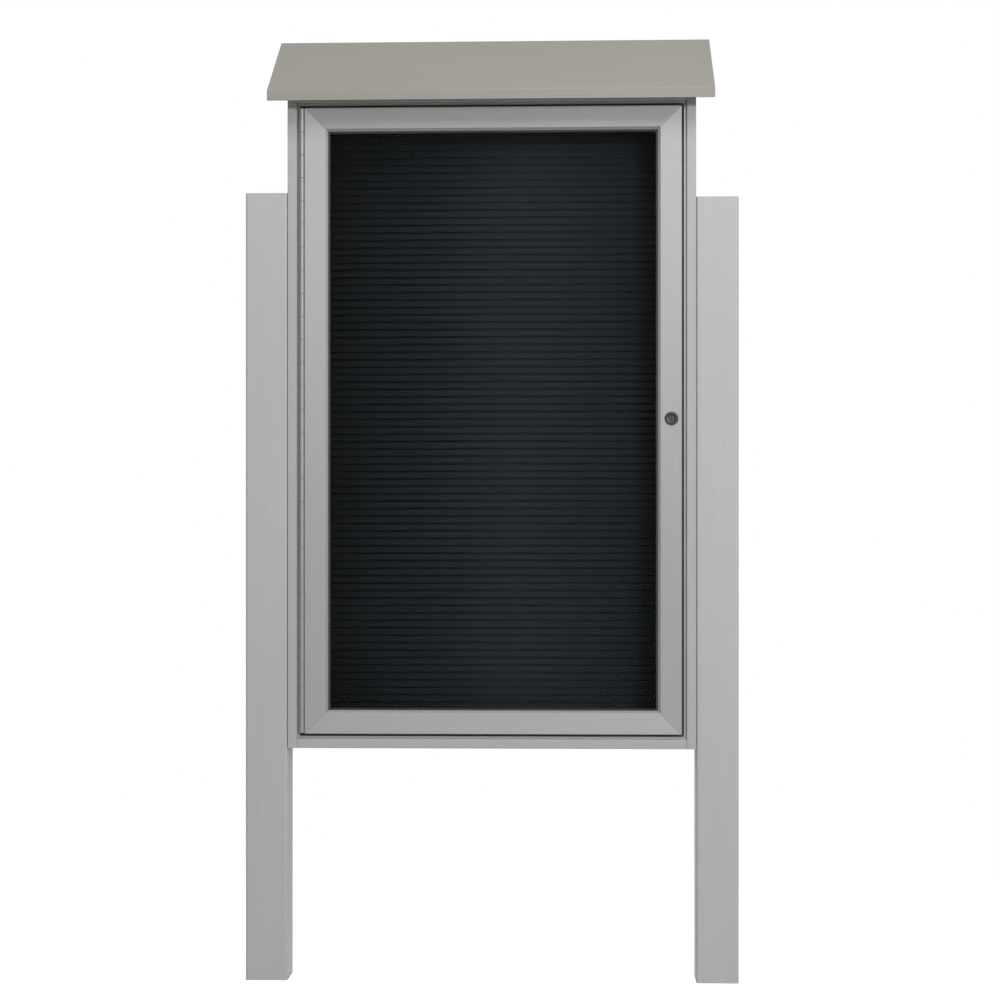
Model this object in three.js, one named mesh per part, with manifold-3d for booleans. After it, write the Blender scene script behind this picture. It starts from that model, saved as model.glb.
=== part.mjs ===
import * as THREE from 'three';
import { mergeVertices } from 'three/addons/utils/BufferGeometryUtils.js';
import Module from 'manifold-3d';

const wasm = await Module();
wasm.setup();

// A lockable notice board on two posts. Recycled-plastic planks make a shallow cabinet
// under a sloped roof plank, a mitred aluminium door closes it, and a grooved letter board
// stands inside. Lengths are in millimetres, +Z is up and the door faces -Y. The origin is
// on the ground, at the middle of the overall box. Inside the assembly group y is measured
// back from the cabinet's front plane.

// Driving dimensions

// Fits: the gap between pieces that touch, and how far a cutting tool runs past a surface
const seat = 0.3;
const overrun = 5;

// Posts, whose fronts stand a little behind the cabinet's front plane
const postSize = 89;
const postArris = 5;
const postSetback = 2;
const leftPostHeight = 1667;
const rightPostHeight = 1654;

// Cabinet planks
const cabinetLift = 492;
const cabinetDepth = 102;
const plankThickness = 20;
const plankArris = 2;
const rabbetWidth = 10;

// Roof plank and the two bevelled cleats under it
const roofThickness = 19;
const roofSlope = THREE.MathUtils.degToRad(34);
const roofArris = 5;
const eaveArris = 2;
const frontOverhang = 48;
const rearOverhang = 74;
const sideOverhang = 37;
const eaveGap = 5;
const cleatSetback = 2;
const cleatPastScrewShare = 0.26;

// Back panel and grooved letter board
const panelThickness = 9;
const panelClearance = 1;
const boardThickness = 10;
const boardClearance = 1.5;
const groovePitch = 16;
const grooveMouth = 4.6;
const grooveFloor = 3.2;
const grooveDepth = 4;

// Door frame, mitred from one hollow extrusion with a glazing slot
const doorWidth = 796;
const doorHeight = 1324;
const doorDepth = 25;
const doorGap = 5;
const faceWidth = 44.8;
const frameWall = 2.4;
const frameArris = 1;
const lipWidth = 5;
const lipSetback = 1.5;
const lipFall = 3;
const lipEdge = 1;
const lipThickness = 2;
const slotDepth = 10;
const mitreGap = 0.3;
const cornerKeyArm = 62;

// Glazing and its gasket
const glazingThickness = 3;
const glazingBite = 7;
const gasketWall = 1.7;
const gasketShow = 4;

// Case frame: angles round the opening, whose inner leg stops the door
const jambThickness = 5;
const jambSetback = 6;
const stopThickness = 3;
const stopLap = 7;
const sealSpace = 3;
const sealWidth = 5;
const sealInset = 1;

// Continuous hinge
const knuckleRadius = 5.2;
const knuckleCount = 27;
const knuckleGap = 0.6;
const leafThickness = 1.5;
const leafWidth = 23;
const pinRadius = 2.4;
const hingeProud = 1;
const hingeEndGap = 2;

// Cam lock
const lockInset = 21.5;
const lockHeight = 665;
const bezelRadius = 14;
const bezelThickness = 3.5;
const bezelChamfer = 1.5;
const barrelRadius = 9.5;
const lockPlugRadius = 6.5;
const plugDishDepth = 0.8;
const keywayLength = 8;
const keywayWidth = 1.8;
const keywayDepth = 6;
const lockNutFlats = 22;
const lockNutThickness = 4.5;
const camClearance = 1.8;
const camThickness = 3;
const camReach = 28;
const camRadius = 8;
const camTipRadius = 4;
const camStubRadius = 3.5;
const camNutFlats = 10;
const camNutThickness = 3.2;

// Fasteners, each with its head, shank and length under the head
const lagScrew = { headRadius: 8, headHeight: 5.5, shankRadius: 4, length: 75, sides: 6 };
const panelScrew = { headRadius: 4, headHeight: 2.6, shankRadius: 2, length: 34, sides: 12 };
const boardScrew = { headRadius: 4.5, headHeight: 2.6, shankRadius: 2, length: 17, sides: 12 };
const cornerScrew = { headRadius: 5, headHeight: 3, shankRadius: 2.5, length: 60, sides: 12 };
const roofScrew = { headRadius: 5.5, headHeight: 3, shankRadius: 2.75, sides: 12 };
const lagEdge = 90;
const panelScrewEdge = 120;
const panelScrewMargin = 4.5;
const boardScrewMargin = 24;
const cornerScrewEdge = 30;
const roofScrewEdge = 111;
const roofScrewStopGap = 1.5;
const roofScrewBoardGap = 8.2;
const roofScrewGrip = 16;

// Facets of the round forms
const arrisSteps = 3;
const shaftSides = 12;
const barrelSides = 24;

// Sizes worked out from the driving dimensions
const sightWidth = faceWidth + lipWidth;
const slotWidth = glazingThickness + (gasketWall + seat) * 2;
const lipTip = lipSetback + lipFall;
const slotFront = lipTip + lipEdge;
const slotFloor = sightWidth - slotDepth;
const hingeGap = (knuckleRadius + seat) * 2;
const openingWidth = (seat + jambThickness) * 2 + hingeGap + doorWidth + doorGap;
const openingHeight = (seat + jambThickness + doorGap) * 2 + doorHeight;
const cabinetWidth = openingWidth + plankThickness * 2;
const openingLeft = -openingWidth / 2;
const openingRight = openingWidth / 2;
const openingBottom = cabinetLift + plankThickness;
const openingTop = openingBottom + openingHeight;
const topPlankTop = openingTop + plankThickness;
const doorLeft = openingLeft + seat + jambThickness + hingeGap;
const doorBottom = openingBottom + seat + jambThickness + doorGap;
const doorTop = doorBottom + doorHeight;
const stopFront = doorDepth + sealSpace;
const stopBack = stopFront + stopThickness;
const panelFront = cabinetDepth - panelThickness;
const boardBack = panelFront - seat;
const boardFront = boardBack - boardThickness;
const eaveFront = -frontOverhang;
const roofBack = cabinetDepth + rearOverhang;
const eaveBottom = doorTop + eaveGap;
const roofPlumb = roofThickness / Math.cos(roofSlope);
const frontPlane = -(eaveFront + roofBack) / 2;
const hingeX = doorLeft - seat - knuckleRadius;
const hingeLength = doorHeight - hingeEndGap * 2;
const lockX = doorLeft + doorWidth - lockInset;
const lockZ = doorBottom + lockHeight;
const cabinetMiddle = cabinetDepth / 2;
const postBack = postSetback + postSize;
const postMiddle = (postSetback + postBack) / 2;
const lagY = (stopBack + postBack) / 2;

// The front roof screws stand behind the door stop and the rear ones before the letter
// board. Each cleat runs a share of the distance between them past its own screws.
const frontRoofScrewY = stopBack + roofScrewStopGap + roofScrew.headRadius;
const rearRoofScrewY = boardFront - roofScrewBoardGap - roofScrew.headRadius;
const cleatPastScrew = (rearRoofScrewY - frontRoofScrewY) * cleatPastScrewShare;
const frontCleatBack = frontRoofScrewY + cleatPastScrew;
const rearCleatFront = rearRoofScrewY - cleatPastScrew;

// Height of the roof plank's underside at a depth behind the cabinet's front plane
const roofUnderside = (y) => eaveBottom + (y - eaveFront) * Math.tan(roofSlope);

// Materials, by the finish that the photograph shows
const finish = (color, roughness, metalness, more = {}) =>
  new THREE.MeshStandardMaterial({ color, roughness, metalness, ...more });
const postPlastic = finish(0xb0afad, 0.7, 0);
const plankPlastic = finish(0xa8a6a2, 0.7, 0);
const roofPlastic = finish(0xa09e98, 0.75, 0);
const aluminium = finish(0xb4b5b5, 0.4, 0.85);
const steel = finish(0x9a9c9e, 0.35, 0.9);
const lockMetal = finish(0x4b4c4e, 0.35, 0.8);
const boardPlastic = finish(0x1f2427, 0.6, 0);
const rubber = finish(0x1c1c1d, 0.85, 0);
const clearSheet = finish(0xe4eef0, 0.05, 0, { transparent: true, opacity: 0.2 });

const alongX = new THREE.Vector3(1, 0, 0);
const alongY = new THREE.Vector3(0, 1, 0);
const alongZ = new THREE.Vector3(0, 0, 1);

// Outline through corners given as [x, y, rounding]
function outline(corners) {
  const shape = new THREE.Shape();
  corners.forEach(([x, y, rounding = 0], index) => {
    const corner = new THREE.Vector2(x, y);
    const before = corners[(index + corners.length - 1) % corners.length];
    const after = corners[(index + 1) % corners.length];
    const into = new THREE.Vector2(before[0], before[1]).sub(corner).setLength(rounding).add(corner);
    const out = new THREE.Vector2(after[0], after[1]).sub(corner).setLength(rounding).add(corner);
    if (index === 0) shape.moveTo(into.x, into.y);
    else shape.lineTo(into.x, into.y);
    if (rounding > 0) shape.quadraticCurveTo(x, y, out.x, out.y);
  });
  shape.closePath();
  return shape;
}

function rectangle(x0, y0, x1, y1, rounding = 0) {
  return outline([[x0, y0, rounding], [x1, y0, rounding], [x1, y1, rounding], [x0, y1, rounding]]);
}

// Prism of an outline along +Z, from z = 0
function prism(shape, length, steps = arrisSteps) {
  return new THREE.ExtrudeGeometry(shape, { depth: length, bevelEnabled: false, curveSegments: steps });
}

// Prism whose outline lies in the YZ plane and that runs along +X, from x = 0
function prismAlongX(shape, length) {
  return prism(shape, length).applyMatrix4(new THREE.Matrix4().makeBasis(alongY, alongZ, alongX));
}

// Prism whose outline lies in the XZ plane and that runs along +Y, from y = 0
function prismAlongY(shape, length, steps = arrisSteps) {
  const turn = new THREE.Matrix4().makeBasis(alongX, alongZ, alongY.clone().negate());
  return prism(shape, length, steps).applyMatrix4(turn).translate(0, length, 0);
}

// Cylinder along +Y, from y = 0
function rod(radius, length, sides = shaftSides) {
  return new THREE.CylinderGeometry(radius, radius, length, sides).translate(0, length / 2, 0);
}

// Solid of revolution round the Y axis, through points [radius, y]
function revolve(points, sides = barrelSides) {
  return new THREE.LatheGeometry(points.map(([radius, y]) => new THREE.Vector2(radius, y)), sides);
}

// Evenly spaced points on a circle, for nuts and for round holes in an outline
function circlePoints(radius, count) {
  const angles = Array.from({ length: count }, (_, index) => (index * Math.PI * 2) / count);
  return angles.map((angle) => new THREE.Vector2(radius * Math.cos(angle), radius * Math.sin(angle)));
}

// Hexagonal outline by its width across flats
const hexagon = (flats) => new THREE.Shape(circlePoints(flats / Math.sqrt(3), 6));

// Corner radius of a polygonal hole whose flats clear a round shaft by the seat
const around = (radius, count) => (radius + seat) / Math.cos(Math.PI / count);

function circularHole(radius, count = shaftSides) {
  return new THREE.Path(circlePoints(around(radius, count), count));
}

// Cutting tool for a round shaft, along +Y from y = 0
const drill = (radius, length, count = shaftSides) => rod(around(radius, count), length, count);

// Closed geometry to a solid for cutting and joining, and back
function solidOf(geometry) {
  const bare = geometry.clone();
  bare.deleteAttribute('normal');
  bare.deleteAttribute('uv');
  const merged = mergeVertices(bare);
  return new wasm.Manifold(new wasm.Mesh({
    numProp: 3,
    vertProperties: new Float32Array(merged.attributes.position.array),
    triVerts: new Uint32Array(merged.index.array),
  }));
}

function geometryOf(solid) {
  const { vertProperties, triVerts } = solid.getMesh();
  const geometry = new THREE.BufferGeometry();
  geometry.setAttribute('position', new THREE.BufferAttribute(vertProperties, 3));
  geometry.setIndex(new THREE.BufferAttribute(triVerts, 1));
  geometry.computeVertexNormals();
  return geometry;
}

const cut = (geometry, tools) =>
  geometryOf(tools.reduce((work, tool) => work.subtract(solidOf(tool)), solidOf(geometry)));

const join = (geometries) =>
  geometryOf(geometries.map(solidOf).reduce((work, piece) => work.add(piece)));

function piece(name, geometry, material, position = [0, 0, 0]) {
  const mesh = new THREE.Mesh(geometry, material);
  mesh.name = name;
  mesh.position.set(...position);
  return mesh;
}

// Fasteners: the head lies on the -Y side of the origin and the shank runs along +Y
function fastenerGeometry(kind, length) {
  const shoulder = kind.headHeight / 2;
  const point = kind.shankRadius * 2;
  const shank = revolve([
    [0, -shoulder],
    [kind.shankRadius, -shoulder],
    [kind.shankRadius, length - point],
    [0, length],
  ], shaftSides);
  const head = revolve([
    [0, -kind.headHeight],
    [kind.headRadius - shoulder, -kind.headHeight],
    [kind.headRadius, -shoulder],
    [kind.headRadius, 0],
    [0, 0],
  ], kind.sides);
  return join([head, shank]);
}

// One kind of fastener at several places, with the bores that take it. A sunk head lies
// below the surface in a counterbore, any other head rests on the surface.
function fasten(name, kind, places, { length = kind.length, sunk = false } = {}) {
  const geometry = fastenerGeometry(kind, length);
  const meshes = [];
  const bores = [];
  places.forEach(([x, y, z, direction], index) => {
    const turn = new THREE.Quaternion().setFromUnitVectors(alongY, direction);
    const depth = sunk ? kind.headHeight + seat : -seat;
    const at = new THREE.Vector3(x, y, z).addScaledVector(direction, depth);
    const mesh = piece(`${name}_${index + 1}`, geometry, steel, at.toArray());
    mesh.quaternion.copy(turn);
    meshes.push(mesh);
    const bore = drill(kind.shankRadius, length + overrun + seat).translate(0, -overrun, 0);
    bores.push(bore.applyQuaternion(turn).translate(...at.toArray()));
    if (sunk) {
      const recess = drill(kind.headRadius, kind.headHeight + overrun + seat);
      recess.translate(0, -kind.headHeight - overrun, 0);
      bores.push(recess.applyQuaternion(turn).translate(...at.toArray()));
    }
  });
  return { meshes, bores };
}

// Four bars round a rectangle, mitred at its corners. The section's x runs inward from the
// outer edge, its y is depth and the bar runs along its z. Side 0 is the left one, then
// top, right and bottom.
function mitredBar(section, length) {
  const bar = prism(section, 1);
  const position = bar.attributes.position;
  for (let i = 0; i < position.count; i += 1) {
    const inset = position.getX(i) + mitreGap / Math.SQRT2;
    position.setZ(i, inset + position.getZ(i) * (length - inset * 2));
  }
  return bar;
}

const sides = ['left', 'top', 'right', 'bottom'];

function cornerOf(side, rect) {
  const x = side < 2 ? rect.left : rect.left + rect.width;
  const z = side === 0 || side === 3 ? rect.bottom : rect.bottom + rect.height;
  return [x, 0, z];
}

function framedPiece(name, geometry, material, side, rect) {
  const mesh = piece(name, geometry, material, cornerOf(side, rect));
  mesh.rotation.y = (side * Math.PI) / 2;
  return mesh;
}

// Flat ring round the door's edge rectangle, between two insets, along +Y
function doorRing(outerInset, innerInset, thickness) {
  const ring = rectangle(outerInset, outerInset, doorWidth - outerInset, doorHeight - outerInset);
  ring.holes.push(rectangle(innerInset, innerInset, doorWidth - innerInset, doorHeight - innerInset));
  return prismAlongY(ring, thickness);
}

// Posts stand against the outer faces of the side planks
function post(name, side, height, bores) {
  const half = postSize / 2;
  const section = rectangle(-half, -half, half, half, postArris);
  const x = side * (cabinetWidth / 2 + seat + half);
  return piece(name, cut(prism(section, height).translate(x, postMiddle, 0), bores), postPlastic);
}

// Side planks run the cabinet's full height and are cut to the roof's slope at the top.
// A rabbet in the rear inner corner takes the back panel.
function sidePlank(name, side, bores) {
  const inner = (side * openingWidth) / 2;
  const outer = (side * cabinetWidth) / 2;
  const shoulder = panelFront - seat;
  const section = outline([
    [inner, 0, plankArris],
    [outer, 0, plankArris],
    [outer, cabinetDepth, plankArris],
    [inner + side * rabbetWidth, cabinetDepth],
    [inner + side * rabbetWidth, shoulder],
    [inner, shoulder],
  ]);
  const top = roofUnderside(cabinetDepth) + overrun;
  const plank = prism(section, top - cabinetLift).translate(0, 0, cabinetLift);
  const aboveRoof = outline([
    [-overrun, roofUnderside(-overrun) - seat],
    [cabinetDepth + overrun, roofUnderside(cabinetDepth + overrun) - seat],
    [cabinetDepth + overrun, top + overrun],
    [-overrun, top + overrun],
  ]);
  const roofCut = prismAlongX(aboveRoof, cabinetWidth + overrun * 2);
  roofCut.translate(-cabinetWidth / 2 - overrun, 0, 0);
  return piece(name, cut(plank, [roofCut, ...bores]), plankPlastic);
}

// Top and bottom planks fit between the side planks and carry the same rabbet
function crossPlank(name, outerZ, innerZ, bores) {
  const rabbetZ = innerZ + Math.sign(outerZ - innerZ) * rabbetWidth;
  const section = outline([
    [0, innerZ, plankArris],
    [0, outerZ, plankArris],
    [cabinetDepth, outerZ, plankArris],
    [cabinetDepth, rabbetZ],
    [panelFront - seat, rabbetZ],
    [panelFront - seat, innerZ],
  ]);
  const length = openingWidth - seat * 2;
  const plank = prismAlongX(section, length).translate(-length / 2, 0, 0);
  return piece(name, cut(plank, bores), plankPlastic);
}

// Cleats close the space between the top plank and the roof, with a bevelled top edge
function cleat(name, front, back, bores) {
  const section = outline([
    [front, topPlankTop + seat],
    [back, topPlankTop + seat],
    [back, roofUnderside(back) - seat],
    [front, roofUnderside(front) - seat],
  ]);
  const length = openingWidth - seat * 2;
  return piece(name, cut(prismAlongX(section, length).translate(-length / 2, 0, 0), bores), plankPlastic);
}

// One wide plank with plumb-cut edges makes the roof. Its acute edges are rounded less.
function roofPlank(bores) {
  const section = outline([
    [eaveFront, eaveBottom, eaveArris],
    [roofBack, roofUnderside(roofBack), roofArris],
    [roofBack, roofUnderside(roofBack) + roofPlumb, eaveArris],
    [eaveFront, eaveBottom + roofPlumb, roofArris],
  ]);
  const length = cabinetWidth + sideOverhang * 2;
  const plank = prismAlongX(section, length).translate(-length / 2, 0, 0);
  return piece('roof_plank', cut(plank, bores), roofPlastic);
}

function backPanel(bores) {
  const width = openingWidth + (rabbetWidth - panelClearance) * 2;
  const height = openingHeight + (rabbetWidth - panelClearance) * 2;
  const sheet = new THREE.BoxGeometry(width, panelThickness, height);
  sheet.translate(0, panelFront + panelThickness / 2, (openingBottom + openingTop) / 2);
  return piece('back_panel', cut(sheet, bores), plankPlastic);
}

// Letter board: a sheet with level grooves that hold the tabs of changeable letters
function letterBoard(bores) {
  const width = openingWidth - boardClearance * 2;
  const height = openingHeight - boardClearance * 2;
  const count = Math.floor(height / groovePitch) - 1;
  const start = (height - (count - 1) * groovePitch) / 2;
  const corners = [[boardThickness, 0], [0, 0]];
  for (let groove = 0; groove < count; groove += 1) {
    const z = start + groove * groovePitch;
    corners.push(
      [0, z - grooveMouth / 2],
      [grooveDepth, z - grooveFloor / 2],
      [grooveDepth, z + grooveFloor / 2],
      [0, z + grooveMouth / 2],
    );
  }
  const section = outline([...corners, [0, height], [boardThickness, height]]);
  const sheet = prismAlongX(section, width);
  sheet.translate(-width / 2, boardFront, openingBottom + boardClearance);
  return piece('letter_board', cut(sheet, bores), boardPlastic);
}

// Case frame: the jamb leg lies on the plank and the stop leg laps behind the door's edge
function caseFrame() {
  const rect = {
    left: openingLeft + seat,
    bottom: openingBottom + seat,
    width: openingWidth - seat * 2,
    height: openingHeight - seat * 2,
  };
  return sides.map((name, side) => {
    const gap = name === 'left' ? hingeGap : doorGap;
    const leg = jambThickness + gap + stopLap;
    const section = outline([
      [0, jambSetback],
      [jambThickness, jambSetback],
      [jambThickness, stopFront],
      [leg, stopFront],
      [leg, stopBack],
      [0, stopBack],
    ]);
    const length = side % 2 === 0 ? rect.height : rect.width;
    return framedPiece(`case_frame_${name}`, mitredBar(section, length), aluminium, side, rect);
  });
}

function weatherSeal() {
  const ring = doorRing(sealInset, sealInset + sealWidth, sealSpace - seat * 2);
  return piece('weather_seal', ring, rubber, [doorLeft, doorDepth + seat, doorBottom]);
}

// Door frame section: a hollow box, a lip at the front that falls back towards the glazing,
// and a second lip behind the glazing slot
function doorSection() {
  const rearLipBack = slotFront + slotWidth + lipThickness;
  const section = outline([
    [0, 0, frameArris],
    [faceWidth, 0, frameArris],
    [faceWidth, lipSetback],
    [sightWidth, lipTip],
    [sightWidth, slotFront],
    [slotFloor, slotFront],
    [slotFloor, slotFront + slotWidth],
    [sightWidth, slotFront + slotWidth],
    [sightWidth, rearLipBack],
    [slotFloor, rearLipBack],
    [slotFloor, doorDepth, frameArris],
    [0, doorDepth, frameArris],
  ]);
  section.holes.push(rectangle(frameWall, frameWall, slotFloor - frameWall, doorDepth - frameWall));
  return section;
}

function doorFrame() {
  const rect = { left: doorLeft, bottom: doorBottom, width: doorWidth, height: doorHeight };
  const names = ['left_stile', 'top_rail', 'right_stile', 'bottom_rail'];
  const lockBore = drill(barrelRadius, doorDepth + overrun * 2, barrelSides);
  lockBore.translate(lockInset, -overrun, doorHeight - lockHeight);
  const bars = names.map((name, side) => {
    const bar = mitredBar(doorSection(), side % 2 === 0 ? doorHeight : doorWidth);
    const geometry = name === 'right_stile' ? cut(bar, [lockBore]) : bar;
    return framedPiece(name, geometry, aluminium, side, rect);
  });
  const near = frameWall + seat;
  const far = slotFloor - frameWall - seat;
  const key = outline([
    [near, near],
    [near + cornerKeyArm, near],
    [near + cornerKeyArm, far],
    [far, far],
    [far, near + cornerKeyArm],
    [near, near + cornerKeyArm],
  ]);
  const keyNames = ['lower_left', 'upper_left', 'upper_right', 'lower_right'];
  const keys = keyNames.map((name, side) => {
    const geometry = prismAlongY(key, doorDepth - near * 2).translate(0, near, 0);
    return framedPiece(`corner_key_${name}`, geometry, aluminium, side, rect);
  });
  return [...bars, ...keys];
}

// Glazing sheet and the gasket that wraps its edge and shows inside the lip
function glazing() {
  const inset = sightWidth - glazingBite;
  const sheetFront = slotFront + seat + gasketWall;
  const width = doorWidth - inset * 2;
  const height = doorHeight - inset * 2;
  const sheet = new THREE.BoxGeometry(width, glazingThickness, height);
  sheet.translate(doorWidth / 2, glazingThickness / 2, doorHeight / 2);
  const pocket = new THREE.BoxGeometry(width + seat * 2, glazingThickness + seat * 2, height + seat * 2);
  pocket.translate(doorWidth / 2, glazingThickness / 2, doorHeight / 2);
  const wrap = doorRing(slotFloor + seat, sightWidth + gasketShow, glazingThickness + gasketWall * 2);
  const gasket = cut(wrap.translate(0, -gasketWall, 0), [pocket]);
  const at = [doorLeft, sheetFront, doorBottom];
  return [piece('glazing', sheet, clearSheet, at), piece('glazing_gasket', gasket, rubber, at)];
}

// Continuous hinge: two leaves whose knuckles take turns along one pin. Side -1 is the leaf
// on the case frame, side +1 the leaf on the door's edge.
function hingeLeaf(name, side) {
  const inside = knuckleRadius - leafThickness;
  const swing = knuckleRadius + knuckleGap;
  const plateStart = Math.sqrt(swing ** 2 - inside ** 2);
  const tangent = Math.sqrt(knuckleRadius ** 2 - inside ** 2);
  const wrapAngle = Math.atan2(tangent, inside);
  const plate = new THREE.BoxGeometry(leafThickness, leafWidth - plateStart, hingeLength);
  plate.translate(
    side * (knuckleRadius - leafThickness / 2),
    (leafWidth + plateStart) / 2,
    hingeLength / 2,
  );
  const curl = new THREE.Shape();
  curl.moveTo(side * knuckleRadius, plateStart + leafThickness);
  const from = side > 0 ? 0 : Math.PI;
  const to = side > 0 ? wrapAngle : Math.PI - wrapAngle;
  curl.absarc(0, 0, knuckleRadius, from, to, side > 0);
  curl.lineTo(side * inside, plateStart + leafThickness);
  curl.closePath();
  curl.holes.push(circularHole(pinRadius));
  const pitch = hingeLength / knuckleCount;
  const knuckle = prism(curl, pitch - knuckleGap, shaftSides / 2);
  const parts = [plate];
  for (let turn = side > 0 ? 1 : 0; turn < knuckleCount; turn += 2) {
    parts.push(knuckle.clone().translate(0, 0, turn * pitch + knuckleGap / 2));
  }
  return piece(name, join(parts), steel, [hingeX, -hingeProud, doorBottom + hingeEndGap]);
}

function hingePin() {
  const pin = rod(pinRadius, hingeLength).rotateX(Math.PI / 2);
  return piece('hinge_pin', pin, steel, [hingeX, -hingeProud, doorBottom + hingeEndGap]);
}

// Cam lock: a flanged barrel through the stile, held by a nut behind it. The key turns the
// plug, and the cam on the plug's stub swings behind the case frame's stop leg.
function camLock() {
  const camFront = stopBack + camClearance;
  const barrelBack = camFront - seat;
  const stubEnd = camFront + camThickness + seat * 2 + camNutThickness;
  const bore = lockPlugRadius + seat;
  const body = revolve([
    [bore, -bezelThickness],
    [bezelRadius - bezelChamfer, -bezelThickness],
    [bezelRadius, -bezelThickness + bezelChamfer],
    [bezelRadius, -seat],
    [barrelRadius, -seat],
    [barrelRadius, barrelBack],
    [bore, barrelBack],
    [bore, -bezelThickness],
  ]);
  const plugFront = -bezelThickness + plugDishDepth;
  const solidPlug = revolve([
    [0, plugFront],
    [lockPlugRadius, plugFront],
    [lockPlugRadius, barrelBack],
    [camStubRadius, barrelBack],
    [camStubRadius, stubEnd],
    [0, stubEnd],
  ]);
  const keyway = new THREE.BoxGeometry(keywayWidth, keywayDepth + overrun, keywayLength);
  keyway.translate(0, plugFront + (keywayDepth - overrun) / 2, 0);
  const nut = hexagon(lockNutFlats);
  nut.holes.push(circularHole(barrelRadius, barrelSides));
  const camNut = hexagon(camNutFlats);
  camNut.holes.push(circularHole(camStubRadius));
  const cam = new THREE.Shape();
  cam.absarc(0, 0, camRadius, 0, Math.PI, false);
  cam.absarc(-camRadius + camTipRadius, camTipRadius - camReach, camTipRadius, Math.PI, Math.PI * 1.5);
  cam.absarc(camRadius - camTipRadius, camTipRadius - camReach, camTipRadius, Math.PI * 1.5, Math.PI * 2);
  cam.closePath();
  cam.holes.push(circularHole(camStubRadius));
  const at = (y) => [lockX, y, lockZ];
  const steps = shaftSides / 2;
  return [
    piece('lock_body', body, lockMetal, at(0)),
    piece('lock_nut', prismAlongY(nut, lockNutThickness, shaftSides), steel, at(doorDepth + seat)),
    piece('lock_plug', cut(solidPlug, [keyway]), lockMetal, at(0)),
    piece('lock_cam', prismAlongY(cam, camThickness, steps), steel, at(camFront)),
    piece('lock_cam_nut', prismAlongY(camNut, camNutThickness, steps), steel,
      at(camFront + camThickness + seat)),
  ];
}

// Lag screws run from inside the cabinet, through the side planks and into the posts. They
// are spread over the height that the post and the opening share.
const towardLeft = alongX.clone().negate();
const towardRight = alongX.clone();
function lagPlaces(inner, direction, postHeight) {
  const low = cabinetLift + lagEdge;
  const high = Math.min(postHeight, openingTop) - lagEdge;
  return [low, (low + high) / 2, high].map((z) => [inner, lagY, z, direction]);
}
const leftLags = fasten('left_post_screw', lagScrew, lagPlaces(openingLeft, towardLeft, leftPostHeight));
const rightLags = fasten('right_post_screw', lagScrew, lagPlaces(openingRight, towardRight, rightPostHeight));

// Corner screws run through the side planks into the ends of the top and bottom planks
function cornerPlaces(outer, direction) {
  const top = topPlankTop - plankThickness / 2;
  const bottom = cabinetLift + plankThickness / 2;
  return [
    [outer, cornerScrewEdge, top, direction],
    [outer, cabinetDepth - cornerScrewEdge, top, direction],
    [outer, cabinetMiddle, bottom, direction],
  ];
}
const sunkHead = { sunk: true };
const leftCorners = fasten('left_corner_screw', cornerScrew,
  cornerPlaces(-cabinetWidth / 2, towardRight), sunkHead);
const rightCorners = fasten('right_corner_screw', cornerScrew,
  cornerPlaces(cabinetWidth / 2, towardLeft), sunkHead);

// Roof screws come up through the top plank and a cleat, so none shows on the roof
const roofScrewX = openingRight - roofScrewEdge;
function roofScrews(name, y) {
  const length = roofUnderside(y) - openingTop + roofScrewGrip + seat;
  const places = [-roofScrewX, roofScrewX].map((x) => [x, y, openingTop, alongZ]);
  return fasten(name, roofScrew, places, { length });
}
const frontRoofScrews = roofScrews('front_roof_screw', frontRoofScrewY);
const rearRoofScrews = roofScrews('rear_roof_screw', rearRoofScrewY);

// Back panel screws go through its margin into the rabbets of the side planks
const towardFront = alongY.clone().negate();
const panelScrewX = openingRight + panelScrewMargin;
const panelScrewZ = [openingBottom + panelScrewEdge, (openingBottom + openingTop) / 2, openingTop - panelScrewEdge];
const panelPlaces = [-panelScrewX, panelScrewX].flatMap((x) =>
  panelScrewZ.map((z) => [x, cabinetDepth, z, towardFront]));
const panelScrews = fasten('back_panel_screw', panelScrew, panelPlaces);

// Letter board screws sit in its corners, behind the door frame
const boardScrewX = openingRight - boardScrewMargin;
const boardScrewZ = [openingBottom + boardScrewMargin, openingTop - boardScrewMargin];
const boardPlaces = [-boardScrewX, boardScrewX].flatMap((x) =>
  boardScrewZ.map((z) => [x, boardFront, z, alongY]));
const boardScrews = fasten('letter_board_screw', boardScrew, boardPlaces);

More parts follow.
